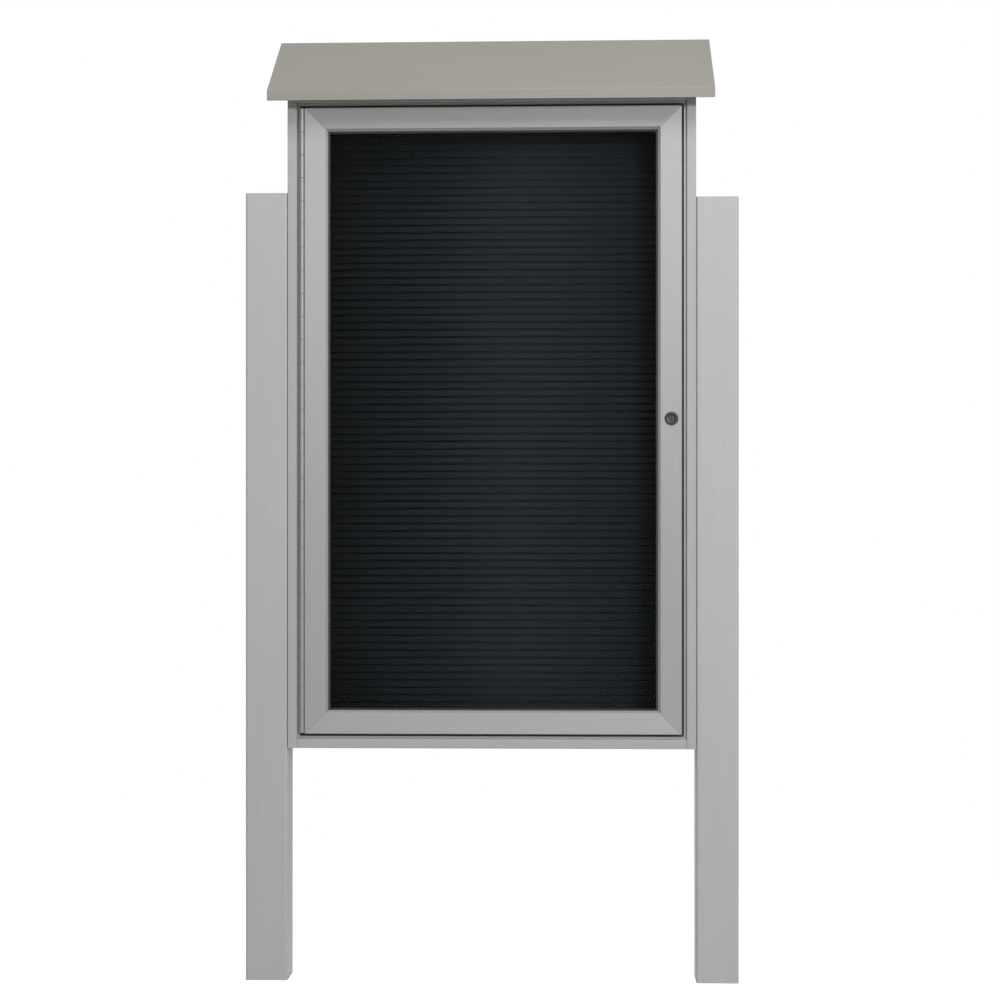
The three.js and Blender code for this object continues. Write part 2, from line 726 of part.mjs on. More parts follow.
// The assembly, shifted so that the origin is at the middle of the overall depth
const noticeBoard = new THREE.Group();
noticeBoard.position.y = frontPlane;
noticeBoard.add(
  post('left_post', -1, leftPostHeight, leftLags.bores),
  post('right_post', 1, rightPostHeight, rightLags.bores),
  sidePlank('left_side_plank', -1, [...leftLags.bores, ...leftCorners.bores, ...panelScrews.bores]),
  sidePlank('right_side_plank', 1, [...rightLags.bores, ...rightCorners.bores, ...panelScrews.bores]),
  crossPlank('top_plank', topPlankTop, openingTop,
    [...leftCorners.bores, ...rightCorners.bores, ...frontRoofScrews.bores, ...rearRoofScrews.bores]),
  crossPlank('bottom_plank', cabinetLift, openingBottom, [...leftCorners.bores, ...rightCorners.bores]),
  cleat('front_roof_cleat', cleatSetback, frontCleatBack, frontRoofScrews.bores),
  cleat('rear_roof_cleat', rearCleatFront, cabinetDepth - cleatSetback, rearRoofScrews.bores),
  roofPlank([...frontRoofScrews.bores, ...rearRoofScrews.bores]),
  backPanel([...panelScrews.bores, ...boardScrews.bores]),
  letterBoard(boardScrews.bores),
  ...caseFrame(),
  weatherSeal(),
  ...doorFrame(),
  ...glazing(),
  hingeLeaf('hinge_case_leaf', -1),
  hingeLeaf('hinge_door_leaf', 1),
  hingePin(),
  ...camLock(),
  ...leftLags.meshes,
  ...rightLags.meshes,
  ...leftCorners.meshes,
  ...rightCorners.meshes,
  ...frontRoofScrews.meshes,
  ...rearRoofScrews.meshes,
  ...panelScrews.meshes,
  ...boardScrews.meshes,
);

export default noticeBoard;
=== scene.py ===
# %% [markdown]
# # Dressing a lockable notice board
# The board is a shallow cabinet of recycled-plastic planks on two posts. A mitred aluminium
# door on a continuous hinge closes it, and a black grooved letter board stands inside.
# The solid model gives every size and place. It could be shaded as it is, but moulded planks
# and drawn aluminium are known by their softened edges and their lengthwise grain. So the
# pieces that show are built again here with fine edges, and every other solid keeps its shape
# and gets a material of its own.

import math

import bmesh
import bpy
from mathutils import Matrix, Vector


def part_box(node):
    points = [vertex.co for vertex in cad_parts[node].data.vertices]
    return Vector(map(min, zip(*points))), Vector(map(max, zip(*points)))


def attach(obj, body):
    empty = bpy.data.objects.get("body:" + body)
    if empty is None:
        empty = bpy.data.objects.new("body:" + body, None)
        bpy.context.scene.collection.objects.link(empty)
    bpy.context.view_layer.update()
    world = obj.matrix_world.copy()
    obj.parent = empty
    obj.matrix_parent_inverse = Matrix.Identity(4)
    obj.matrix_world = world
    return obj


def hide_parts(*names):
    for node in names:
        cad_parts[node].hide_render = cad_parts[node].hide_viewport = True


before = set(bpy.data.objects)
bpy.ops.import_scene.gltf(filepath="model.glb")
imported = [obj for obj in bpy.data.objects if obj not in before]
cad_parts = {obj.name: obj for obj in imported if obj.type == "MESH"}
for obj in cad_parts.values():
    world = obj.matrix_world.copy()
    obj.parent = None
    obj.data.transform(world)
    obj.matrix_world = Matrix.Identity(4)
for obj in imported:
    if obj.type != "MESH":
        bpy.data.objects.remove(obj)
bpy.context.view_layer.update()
MM = 0.001

# %% [markdown]
# ## Camera
# The photograph was taken from a little right of the board, at about waist height, with the
# camera held level: the posts stay parallel all the way up. A tilted camera would make them
# lean together, so the lens is shifted up instead, by no more than the picture needs.

# %% Photo camera
PHOTO_PIXELS = 1000
FOCAL_PIXELS = 2201
HORIZON_ROW = 560
SENSOR_WIDTH = 36
CAMERA_PLACE = (0.1952, -4.7002, 0.8898)
CAMERA_TURN = math.radians(2.18)

lens = bpy.data.cameras.new("photo_camera")
lens.sensor_width = SENSOR_WIDTH
lens.lens = SENSOR_WIDTH * FOCAL_PIXELS / PHOTO_PIXELS
lens.shift_y = (HORIZON_ROW - PHOTO_PIXELS / 2) / PHOTO_PIXELS
camera = bpy.data.objects.new("photo_camera", lens)
camera.location = CAMERA_PLACE
camera.rotation_euler = (math.pi / 2, 0, CAMERA_TURN)
bpy.context.scene.collection.objects.link(camera)
bpy.context.scene.camera = camera
bpy.context.scene.view_settings.view_transform = "Standard"
print("lens in mm:", round(lens.lens, 1), "shift:", round(lens.shift_y, 3))

# %% [markdown]
# ## Shader nodes
# Every finish below is a small network of nodes. Writing each link by hand hides what the
# finish does, so one helper adds a node, sets its options and fills its inputs, either with
# a value or with another node's output.

# %% Node helper
def add_node(tree, kind, inputs=None, **options):
    """Adds a node, sets its options, and fills its inputs with values or other outputs."""
    made = tree.nodes.new(kind)
    for option, value in options.items():
        setattr(made, option, value)
    for socket, value in (inputs or {}).items():
        if isinstance(value, bpy.types.NodeSocket):
            tree.links.new(value, made.inputs[socket])
        else:
            made.inputs[socket].default_value = value
    return made


def calculate(tree, operation, first, second=0.0, third=0.0):
    """One sum on two or three numbers."""
    made = add_node(tree, "ShaderNodeMath", {0: first, 1: second, 2: third}, operation=operation)
    return made.outputs[0]


def begin_material(name):
    """A new material with its principled shader, ready for its inputs."""
    material = bpy.data.materials.new(name)
    material.use_nodes = True
    tree = material.node_tree
    return material, tree, tree.nodes["Principled BSDF"]


def add_relief(tree, shader, height, strength, depth):
    """Fine relief on the surface, whose depth is in metres."""
    bump = add_node(tree, "ShaderNodeBump", {
        "Height": height,
        "Strength": strength,
        "Distance": depth,
    })
    tree.links.new(bump.outputs[0], shader.inputs["Normal"])


shader_helpers = (add_node, calculate, begin_material, add_relief)
print("shader helpers:", [helper.__name__ for helper in shader_helpers])

# %% [markdown]
# ## Studio
# The photograph has a plain white ground. The roof's shadow on the planks is short and has a
# clear edge, so the main light is small and stands low, in front and to the right. A broad
# lamp high in front brightens the roof and leaves the top rail in the eave's soft shade, and
# one behind keeps the back from going dark. A bright world alone would leave the board flat,
# so it gives only part of the light. The camera, metal and glass see the world as plain
# white, which costs the board no extra light.

# %% White surroundings
AMBIENT = 0.23


def seen_directly(tree):
    """1 for rays from the camera or a mirror or through glass, and 0 for light on a surface."""
    path = add_node(tree, "ShaderNodeLightPath").outputs
    either = calculate(tree, "MAXIMUM", path["Is Camera Ray"], path["Is Glossy Ray"])
    return calculate(tree, "MAXIMUM", either, path["Is Transmission Ray"])


world = bpy.data.worlds.new("white_studio")
world.use_nodes = True
world_tree = world.node_tree
world_tree.nodes.clear()
ambient = add_node(world_tree, "ShaderNodeBackground", {"Strength": AMBIENT})
ambient.inputs["Color"].default_value = (1, 1, 1, 1)
white = add_node(world_tree, "ShaderNodeBackground", {"Strength": 1.0})
white.inputs["Color"].default_value = (1, 1, 1, 1)
world_mix = add_node(world_tree, "ShaderNodeMixShader", {
    0: seen_directly(world_tree),
    1: ambient.outputs[0],
    2: white.outputs[0],
})
add_node(world_tree, "ShaderNodeOutputWorld", {"Surface": world_mix.outputs[0]})
bpy.context.scene.world = world
print("ambient strength:", AMBIENT)

# %% Softboxes
LAMP_AIM = Vector((0, 0, 1.25))


def softbox(name, place, size, power):
    """A square lamp at a place in metres, turned towards the middle of the cabinet."""
    light = bpy.data.lights.new(name, "AREA")
    light.shape = "SQUARE"
    light.size = size
    light.energy = power
    lamp = bpy.data.objects.new(name, light)
    lamp.location = place
    lamp.rotation_euler = (LAMP_AIM - Vector(place)).to_track_quat("-Z", "Y").to_euler()
    lamp.visible_camera = False
    bpy.context.scene.collection.objects.link(lamp)
    return lamp


key_lamp = softbox("key_softbox", (3.2, -5.8, 2.8), 0.7, 218)
top_lamp = softbox("top_softbox", (0.3, -2.4, 4.4), 1.6, 72)
back_lamp = softbox("back_softbox", (-1.2, 3.6, 2.6), 2.0, 95)
print("lamps:", [lamp.name for lamp in (key_lamp, top_lamp, back_lamp)])

# %% [markdown]
# ## Floor
# A pale floor carries the shadow round the feet. Far from the board it only has to be white.
# A plain white plane would turn grey where the lamps no longer reach it, so the floor fades
# into white light with distance, for the camera and for reflections only.

# %% Pale floor finish
FLOOR_TONE = 0.6
FLOOR_LIFT = 0.71
SHADOW_NEAR = 0.7
SHADOW_FAR = 2.2

floor_material, tree, shader = begin_material("pale_floor")
shader.inputs["Base Color"].default_value = (FLOOR_TONE, FLOOR_TONE, FLOOR_TONE, 1)
shader.inputs["Roughness"].default_value = 1.0
shader.inputs["Specular IOR Level"].default_value = 0.0
seen = seen_directly(tree)
place = add_node(tree, "ShaderNodeTexCoord").outputs["Object"]
distance = add_node(tree, "ShaderNodeVectorMath", {0: place}, operation="LENGTH")
far_share = add_node(tree, "ShaderNodeMapRange", {
    "Value": distance.outputs["Value"],
    "From Min": SHADOW_NEAR,
    "From Max": SHADOW_FAR,
}, interpolation_type="SMOOTHSTEP")
lift = add_node(tree, "ShaderNodeEmission", {
    "Strength": calculate(tree, "MULTIPLY", seen, FLOOR_LIFT),
})
near_floor = add_node(tree, "ShaderNodeAddShader", {0: shader.outputs[0], 1: lift.outputs[0]})
far_floor = add_node(tree, "ShaderNodeEmission", {"Strength": 1.0})
floor_mix = add_node(tree, "ShaderNodeMixShader", {
    0: calculate(tree, "MULTIPLY", seen, far_share.outputs[0]),
    1: near_floor.outputs[0],
    2: far_floor.outputs[0],
})
tree.links.new(floor_mix.outputs[0], tree.nodes["Material Output"].inputs["Surface"])
print("the floor is plain white from", SHADOW_FAR, "m outwards")

# %% Floor plane
FLOOR_REACH = 30

signs = [(-1, -1), (1, -1), (1, 1), (-1, 1)]
floor_corners = [(x * FLOOR_REACH, y * FLOOR_REACH, 0) for x, y in signs]
floor_mesh = bpy.data.meshes.new("floor")
floor_mesh.from_pydata(floor_corners, [], [(0, 1, 2, 3)])
floor_mesh.materials.append(floor_material)
floor = bpy.data.objects.new("floor", floor_mesh)
bpy.context.scene.collection.objects.link(floor)
print("floor reaches", FLOOR_REACH, "m each way")

# %% [markdown]
# ## Recycled-plastic lumber
# Posts, planks and roof are moulded from ground plastic. The skin is satin and nearly even,
# with faint streaks along the length where the melt flowed and a fine pebble grain. A saw cut
# opens the foamed core, which is duller and full of small pores. An image could hold all
# that, but it would stretch on long planks. Noise in the object's own metres keeps its scale
# everywhere, and the face's direction tells a cut end from the skin.

# %% Noise and shades
AXES = {"X": 0, "Y": 1, "Z": 2}


def stretched(tree, along, across_scale, along_scale):
    """Object coordinates that are compressed along one axis, for streaks and grain."""
    scale = [across_scale] * 3
    scale[AXES[along]] = along_scale
    place = add_node(tree, "ShaderNodeTexCoord").outputs["Object"]
    return add_node(tree, "ShaderNodeMapping", {"Vector": place, "Scale": scale}).outputs[0]


def noise(tree, vector, scale=1.0, detail=3.0, roughness=0.5):
    """The strength of a noise, from 0 to 1."""
    return add_node(tree, "ShaderNodeTexNoise", {
        "Vector": vector,
        "Scale": scale,
        "Detail": detail,
        "Roughness": roughness,
    }).outputs["Fac"]


def shades(tree, strength, colour, spread):
    """The colour, from darker to lighter by a spread, as the strength goes from 0.3 to 0.7."""
    stops = ((0.3, 1 - spread), (0.7, 1 + spread))
    ramp = add_node(tree, "ShaderNodeValToRGB", {"Fac": strength})
    for stop, (position, factor) in zip(ramp.color_ramp.elements, stops):
        stop.position = position
        stop.color = (*[channel * factor for channel in colour], 1)
    return ramp.outputs["Color"]


def varied(tree, strength, middle, spread):
    """A number that varies round its middle as the strength goes from 0 to 1."""
    return calculate(tree, "MULTIPLY_ADD", strength, spread, middle - spread / 2)


print("noise and shades measure in the object's own metres")

# %% Moulded skin
CLOUDS_ACROSS, CLOUDS_ALONG = 9, 2.2
STREAKS_ACROSS, STREAKS_ALONG = 150, 2.5
FLECKS_PER_METRE = 420
STREAK_SHARE, CLOUD_SHARE, FLECK_SHARE = 0.45, 0.4, 0.15
SKIN_SPREAD = 0.05


def moulded_skin(tree, place, along, colour):
    """The skin's colour, and the streaks and flecks in it."""
    clouds = noise(tree, stretched(tree, along, CLOUDS_ACROSS, CLOUDS_ALONG), detail=3)
    streak_place = stretched(tree, along, STREAKS_ACROSS, STREAKS_ALONG)
    streaks = noise(tree, streak_place, detail=4, roughness=0.6)
    flecks = noise(tree, place["Object"], FLECKS_PER_METRE, detail=2)
    tone = calculate(tree, "MULTIPLY", streaks, STREAK_SHARE)
    tone = calculate(tree, "MULTIPLY_ADD", clouds, CLOUD_SHARE, tone)
    tone = calculate(tree, "MULTIPLY_ADD", flecks, FLECK_SHARE, tone)
    return shades(tree, tone, colour, SKIN_SPREAD), streaks, flecks


print("the skin varies by", SKIN_SPREAD, "each way")

# %% Sawn core
PORES_PER_METRE = 330.0
PORE_START, PORE_END = 0.15, 0.45
CORE_SHADE = 0.75
CORE_SPREAD = 0.3
CUT_END_FACING = 0.93


def sawn_core(tree, place, along, colour):
    """The core's colour, its pores, and a 1 on the faces that are cut ends."""
    pores = add_node(tree, "ShaderNodeTexVoronoi", {
        "Vector": place["Object"],
        "Scale": PORES_PER_METRE,
    })
    pits = add_node(tree, "ShaderNodeMapRange", {
        "Value": pores.outputs["Distance"],
        "From Min": PORE_START,
        "From Max": PORE_END,
    }).outputs[0]
    core = shades(tree, calculate(tree, "MULTIPLY", pits, CORE_SHADE), colour, CORE_SPREAD)
    facing = add_node(tree, "ShaderNodeSeparateXYZ", {0: place["Normal"]}).outputs[along]
    facing = calculate(tree, "ABSOLUTE", facing)
    cut_end = calculate(tree, "GREATER_THAN", facing, CUT_END_FACING)
    return core, pits, cut_end


print("the core has", PORES_PER_METRE, "pores in a metre")

# %% Lumber from skin and core
LUMBER_ROUGHNESS = 0.55
CORE_ROUGHNESS = 0.85
PEBBLES_PER_METRE = 900
PEBBLE_SHARE = 0.5
LUMBER_RELIEF = 0.4 * MM


def lumber(name, colour, along):
    """Moulded plastic lumber whose streaks run along one axis."""
    material, tree, shader = begin_material(name)
    place = add_node(tree, "ShaderNodeTexCoord").outputs
    skin, streaks, flecks = moulded_skin(tree, place, along, colour)
    core, pits, cut_end = sawn_core(tree, place, along, colour)
    surface = add_node(tree, "ShaderNodeMix", {"Factor": cut_end}, data_type="RGBA")
    tree.links.new(skin, surface.inputs["A"])
    tree.links.new(core, surface.inputs["B"])
    tree.links.new(surface.outputs["Result"], shader.inputs["Base Color"])

    dullness = varied(tree, flecks, middle=LUMBER_ROUGHNESS, spread=0.16)
    core_dullness = calculate(tree, "MULTIPLY", cut_end, CORE_ROUGHNESS)
    dullness = calculate(tree, "MAXIMUM", dullness, core_dullness)
    tree.links.new(dullness, shader.inputs["Roughness"])

    pebbles = noise(tree, place["Object"], PEBBLES_PER_METRE, detail=2)
    relief = calculate(tree, "MULTIPLY_ADD", pebbles, PEBBLE_SHARE, streaks)
    relief = calculate(tree, "MULTIPLY_ADD", pits, cut_end, relief)
    add_relief(tree, shader, relief, strength=0.35, depth=LUMBER_RELIEF)
    return material


print("a cut end's roughness:", CORE_ROUGHNESS)

# %% Lumber finishes
POST_GREY = (0.428, 0.427, 0.426)
PLANK_GREY = (0.39, 0.387, 0.384)
# The roof's grey is darker and warmer than the posts'. Part of the darkness is painted shade,
# taking back light that the high front lamp throws on the slope.
ROOF_SHADED_GREY = (0.268, 0.254, 0.229)
post_lumber = lumber("post_lumber", POST_GREY, "Z")
upright_lumber = lumber("upright_plank_lumber", PLANK_GREY, "Z")
level_lumber = lumber("level_plank_lumber", PLANK_GREY, "X")
roof_lumber = lumber("roof_lumber", ROOF_SHADED_GREY, "X")
lumber_finishes = (post_lumber, upright_lumber, level_lumber, roof_lumber)
print("lumber finishes:", [finish.name for finish in lumber_finishes])

# %% [markdown]
# ## Drawn aluminium
# The door frame and the case frame are satin anodised extrusions. Drawing leaves fine lines
# along each bar, and they spread a reflection across the bar: that is why the stiles and the
# rails differ in brightness where they meet at a mitre. One material for all bars would lose
# this, so each direction has its own, with an anisotropic shine round the bar's axis and fine
# lines of tone along it. The rails are also a touch lighter in grey than the stiles, which is
# painted light. The anodic layer is milky and scatters part of the light before it reaches the
# metal, so the aluminium is shaded as partly metallic. The lip that holds the glazing turns
# away from the light, and its darker grey is painted shade.

# %% Drawn metal
LINES_ACROSS, LINES_ALONG = 1400, 4
STAINS_ACROSS, STAINS_ALONG = 14, 3
LINE_SHARE, STAIN_SHARE = 0.6, 0.4
METAL_RELIEF = 0.05 * MM


def drawn_metal(name, colour, along, roughness, stretch, spread=0.05, metallic=1.0):
    """Metal with lines along one axis, whose shine spreads across them."""
    material, tree, shader = begin_material(name)
    line_place = stretched(tree, along, LINES_ACROSS, LINES_ALONG)
    lines = noise(tree, line_place, detail=3, roughness=0.6)
    stains = noise(tree, stretched(tree, along, STAINS_ACROSS, STAINS_ALONG), detail=2)
    tone = calculate(tree, "MULTIPLY", stains, STAIN_SHARE)
    tone = calculate(tree, "MULTIPLY_ADD", lines, LINE_SHARE, tone)
    tree.links.new(shades(tree, tone, colour, spread), shader.inputs["Base Color"])
    satin = varied(tree, tone, middle=roughness, spread=0.12)
    tree.links.new(satin, shader.inputs["Roughness"])
    shader.inputs["Metallic"].default_value = metallic
    shader.inputs["Anisotropic"].default_value = stretch
    tangent = add_node(tree, "ShaderNodeTangent", direction_type="RADIAL", axis=along)
    tree.links.new(tangent.outputs[0], shader.inputs["Tangent"])
    add_relief(tree, shader, lines, strength=0.15, depth=METAL_RELIEF)
    return material


print("drawn lines in a metre across the grain:", LINES_ACROSS)

# %% Aluminium finishes
ALUMINIUM_GREY = (0.369, 0.37, 0.371)
# The rails' grey is a little lighter than the stiles' as painted light, for the bottom rail's
# brighter reflection.
RAIL_LIGHTENED_GREY = (0.382, 0.382, 0.382)
# The lip's grey is darker than the bars' as painted shade: the lip faces away from the light.
LIP_SHADE_GREY = (0.24, 0.242, 0.245)

upright_aluminium = drawn_metal("upright_aluminium", ALUMINIUM_GREY, "Z", 0.57, 0.9, metallic=0.22)
level_aluminium = drawn_metal("level_aluminium", RAIL_LIGHTENED_GREY, "X", 0.57, 0.9, metallic=0.22)
lip_shaded_aluminium = drawn_metal("lip_shaded_aluminium", LIP_SHADE_GREY, "Z", 0.6, 0.5, metallic=0.3)
print("aluminium finishes:", upright_aluminium.name, level_aluminium.name, lip_shaded_aluminium.name)

# %% Steel and nickel finishes
HINGE_GREY = (0.245, 0.245, 0.247)
STEEL_GREY = (0.3, 0.3, 0.302)
NICKEL_DARK = (0.045, 0.045, 0.047)
PLUG_NICKEL = (0.07, 0.07, 0.07)

hinge_steel = drawn_metal("hinge_steel", HINGE_GREY, "Z", 0.5, 0.3, metallic=0.7)
screw_steel = drawn_metal("screw_steel", STEEL_GREY, "Y", 0.32, 0.0)
dark_nickel = drawn_metal("dark_nickel", NICKEL_DARK, "Y", 0.42, 0.2, spread=0.12)
plug_nickel = drawn_metal("plug_nickel", PLUG_NICKEL, "Y", 0.45, 0.0, spread=0.1)
print("other metals:", hinge_steel.name, screw_steel.name, dark_nickel.name, plug_nickel.name)

# %% [markdown]
# ## Letter board, seals and glazing
# The letter board is black vinyl with a soft grain, so it needs a little tone and a fine bump
# to avoid looking like a hole. The seals are dull black rubber. The glazing is clear acrylic.
# Glass that bends light would darken the board behind it at this thickness, because lamps
# can't shine straight through it, so the sheet lets light through by its alpha and keeps its
# gloss.

# %% Board and rubber
BOARD_BLACK = (0.0115, 0.0155, 0.0185)
RUBBER_BLACK = (0.04, 0.04, 0.042)
PATCHES_PER_METRE = 5
GRAIN_SHARE, PATCH_SHARE = 0.4, 0.6
VINYL_RELIEF = 0.1 * MM


def soft_black(name, colour, roughness, grain_scale, spread, gloss):
    """Dull dark vinyl or rubber with a fine grain."""
    material, tree, shader = begin_material(name)
    shader.inputs["Specular IOR Level"].default_value = gloss
    place = add_node(tree, "ShaderNodeTexCoord").outputs["Object"]
    grain = noise(tree, place, grain_scale, detail=3)
    patches = noise(tree, place, PATCHES_PER_METRE, detail=3)
    tone = calculate(tree, "MULTIPLY", patches, PATCH_SHARE)
    tone = calculate(tree, "MULTIPLY_ADD", grain, GRAIN_SHARE, tone)
    tree.links.new(shades(tree, tone, colour, spread), shader.inputs["Base Color"])
    satin = varied(tree, grain, middle=roughness, spread=0.2)
    tree.links.new(satin, shader.inputs["Roughness"])
    add_relief(tree, shader, grain, strength=0.3, depth=VINYL_RELIEF)
    return material


board_vinyl = soft_black("letter_board_vinyl", BOARD_BLACK, 0.6, 700, 0.14, 0.04)
seal_rubber = soft_black("seal_rubber", RUBBER_BLACK, 0.8, 500, 0.2, 0.3)
print("dull black finishes:", board_vinyl.name, seal_rubber.name)

# %% Clear sheet
ACRYLIC_TINT = (0.95, 0.97, 0.97, 1)
ACRYLIC_IOR = 1.49
CLEAR_ALPHA = 0.07
HAZE_PER_METRE = 3
HAZE_ROUGHNESS = 0.06


def clear_sheet(name):
    """Clear acrylic that shows what is behind it and keeps a gloss."""
    material, tree, shader = begin_material(name)
    place = add_node(tree, "ShaderNodeTexCoord").outputs["Object"]
    haze = noise(tree, place, HAZE_PER_METRE, detail=2)
    gloss = calculate(tree, "MULTIPLY", haze, HAZE_ROUGHNESS)
    tree.links.new(gloss, shader.inputs["Roughness"])
    shader.inputs["Base Color"].default_value = ACRYLIC_TINT
    shader.inputs["Transmission Weight"].default_value = 1.0
    shader.inputs["IOR"].default_value = ACRYLIC_IOR
    shader.inputs["Alpha"].default_value = CLEAR_ALPHA
    return material


clear_acrylic = clear_sheet("clear_acrylic")
print("clear finish:", clear_acrylic.name, "with alpha", CLEAR_ALPHA)

# %% [markdown]
# ## Outlines and bars
# Nearly every piece of this board was made by pushing a material through a die or a mould:
# one outline, carried along a line. So one function draws an outline with truly round
# corners, and another carries it from a start to an end. Where the ends aren't square, as at
# a mitre or under the sloped roof, each point of the outline has its own start and end.

# %% Rounded outline
ARC_STEPS = 6


def rounded(corners, steps=ARC_STEPS):
    """An outline through (x, y, radius) corners, each rounded by an arc."""
    points = []
    for index, (x, y, radius) in enumerate(corners):
        corner = Vector((x, y))
        if radius == 0:
            points.append(corner)
            continue
        to_last = (Vector(corners[index - 1][:2]) - corner).normalized()
        to_next = (Vector(corners[(index + 1) % len(corners)][:2]) - corner).normalized()
        half = to_last.angle(to_next) / 2
        centre = corner + (to_last + to_next).normalized() * radius / math.sin(half)
        spoke = corner + to_last * radius / math.tan(half) - centre
        bend = math.copysign(math.pi - half * 2, to_last.y * to_next.x - to_last.x * to_next.y)
        for step in range(steps + 1):
            points.append(centre + Matrix.Rotation(bend * step / steps, 2) @ spoke)
    return points


print("an arris has", ARC_STEPS, "steps")

# %% Closed meshes
def object_from(name, build):
    """Runs a bmesh building function and wraps the closed mesh in an object."""
    work = bmesh.new()
    build(work)
    bmesh.ops.recalc_face_normals(work, faces=work.faces)
    mesh = bpy.data.meshes.new(name)
    work.to_mesh(mesh)
    work.free()
    made = bpy.data.objects.new(name, mesh)
    bpy.context.scene.collection.objects.link(made)
    return made


def close_rings(work, rings):
    """Joins each ring of vertices to the next, and caps the first and the last."""
    for near, far in zip(rings, rings[1:]):
        for i in range(len(near)):
            after = (i + 1) % len(near)
            work.faces.new((near[i], near[after], far[after], far[i]))
    work.faces.new(rings[0])
    work.faces.new(rings[-1])


print("closed meshes come from", object_from.__name__, "and", close_rings.__name__)

# %% Bars
def bar(name, outline, place, start, end):
    """A closed bar: the outline's points are placed at their own start and end distances."""
    def build(work):
        rings = []
        for reach in (start, end):
            rings.append([work.verts.new(place(point, reach(point))) for point in outline])
        close_rings(work, rings)
    return object_from(name, build)


def straight_bar(name, outline, place, start, end):
    """A bar that is cut square at both ends."""
    return bar(name, outline, place, lambda point: start, lambda point: end)


def along_x(point, distance):
    """The outline lies in depth and height, and the bar runs to the right."""
    return (distance, point.x, point.y)


def along_z(point, distance):
    """The outline lies in width and depth, and the bar runs up."""
    return (point.x, point.y, distance)


print("bars run along", along_x.__name__, "or", along_z.__name__)

# %% [markdown]
# A perfectly sharp edge never catches the light, which gives a computer model away. Each
# built piece therefore gets a narrow bevel on the edges that are still sharp, and normals
# weighted by face area, so that broad faces stay flat and only the bevel turns.

# %% Finish a piece
SHARP_ANGLE = 40


def finish_piece(piece, body, material, stands_for=(), edge=0.4 * MM):
    """Softens sharp edges, gives the material, and puts the piece on its body."""
    piece.data.shade_smooth()
    if edge:
        softened = piece.modifiers.new("softened_edges", "BEVEL")
        softened.width = edge
        softened.segments = 2
        softened.limit_method = "ANGLE"
        softened.angle_limit = math.radians(SHARP_ANGLE)
    piece.modifiers.new("flat_broad_faces", "WEIGHTED_NORMAL")
    piece.data.materials.clear()
    piece.data.materials.append(material)
    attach(piece, body)
    if stands_for:
        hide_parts(*stands_for)
    return piece


print("sharp edges are softened above", SHARP_ANGLE, "degrees")

# %% [markdown]
# Holes and recesses are cut with a boolean, as a drill or a mill would cut them. Everything
# round on this board, from the lock to the screws, is a profile turned about an axis.

# %% Cutting
def carve(piece, tools):
    """Cuts closed tools out of a piece, then removes the tools."""
    for tool in tools:
        cut = piece.modifiers.new("cut", "BOOLEAN")
        cut.operation = "DIFFERENCE"
        cut.solver = "EXACT"
        cut.object = tool
    shown = piece.evaluated_get(bpy.context.evaluated_depsgraph_get())
    carved = bpy.data.meshes.new_from_object(shown)
    piece.modifiers.clear()
    piece.data = carved
    for tool in tools:
        bpy.data.objects.remove(tool)
    return piece


print("cuts are applied at once by", carve.__name__)

# %% Turning
TINY_SIDES = 24
SMALL_SIDES = 32
ROUND_SIDES = 48
FLANGE_SIDES = 64


def stand(at, axis):
    """The transform that moves the z axis to a place and a direction."""
    turn = Vector((0, 0, 1)).rotation_difference(Vector(axis)).to_matrix().to_4x4()
    return Matrix.Translation(at) @ turn


def turned(name, profile, count=ROUND_SIDES, ring=False, at=(0, 0, 0), axis=(0, -1, 0)):
    """A lathe-turned solid through (radius, height) points, whose height runs along axis."""
    settle = stand(at, axis)

    def build(work):
        rows = []
        for radius, height in profile:
            steps = range(count if radius > 0 else 1)
            angles = [math.tau * step / count for step in steps]
            spots = [Vector((radius * math.cos(a), radius * math.sin(a), height)) for a in angles]
            rows.append([work.verts.new(settle @ spot) for spot in spots])
        pairs = list(zip(rows, rows[1:])) + ([(rows[-1], rows[0])] if ring else [])
        for near, far in pairs:
            for i in range(count):
                after = (i + 1) % count
                ends = ((near, i), (near, after), (far, after), (far, i))
                unique = list(dict.fromkeys(row[place % len(row)] for row, place in ends))
                if len(unique) > 2:
                    work.faces.new(unique)
    return object_from(name, build)


def rod_profile(radius, length):
    """The profile of a plain round cutter."""
    return [(0, 0), (radius, 0), (radius, length), (0, length)]


print("turned pieces have", TINY_SIDES, "to", FLANGE_SIDES, "sides")

# %% [markdown]
# ## Posts
# Each post is a four-inch square of plastic lumber with rounded arrises from the mould and a
# saw-cut top. A box with a bevel would do from afar, but its top edge would be as round as
# its arrises. Drawing the section once and cutting it square keeps the two apart.

# %% Two posts
POST_ARRIS = 5 * MM


def square_section(low, high, arris):
    """The outline of a rectangular section, with rounded arrises."""
    corners = [(low.x, low.y), (high.x, low.y), (high.x, high.y), (low.x, high.y)]
    return rounded([(x, y, arris) for x, y in corners])


for side in ("left", "right"):
    low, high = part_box(f"{side}_post")
    section = square_section(low, high, POST_ARRIS)
    post = straight_bar(f"{side}_lumber_post", section, along_z, low.z, high.z)
    finish_piece(post, "cabinet", post_lumber, [f"{side}_post"], edge=0.8 * MM)
    print(post.name, "height in mm:", round((high.z - low.z) / MM))

# %% [markdown]
# ## Side planks
# The side planks carry everything. Their front edges are rounded, a rabbet behind takes the
# back panel, and their tops follow the roof's slope. Two corner screws near the top and one
# near the bottom sit in counterbores, so these are cut after the plank is drawn.

# %% Under the roof
ROOF_SLOPE = math.radians(34)
ROOF_THICKNESS = 19 * MM

# The roof's box ends at its rounded corners, so its sharp ones lie a little outside the box.
roof_low, roof_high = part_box("roof_plank")
roof_plumb = ROOF_THICKNESS / math.cos(ROOF_SLOPE)
sharp_height = (roof_high.y - roof_low.y) * math.tan(ROOF_SLOPE) + roof_plumb
eave_corner = roof_low.z - (sharp_height - (roof_high.z - roof_low.z)) / 2


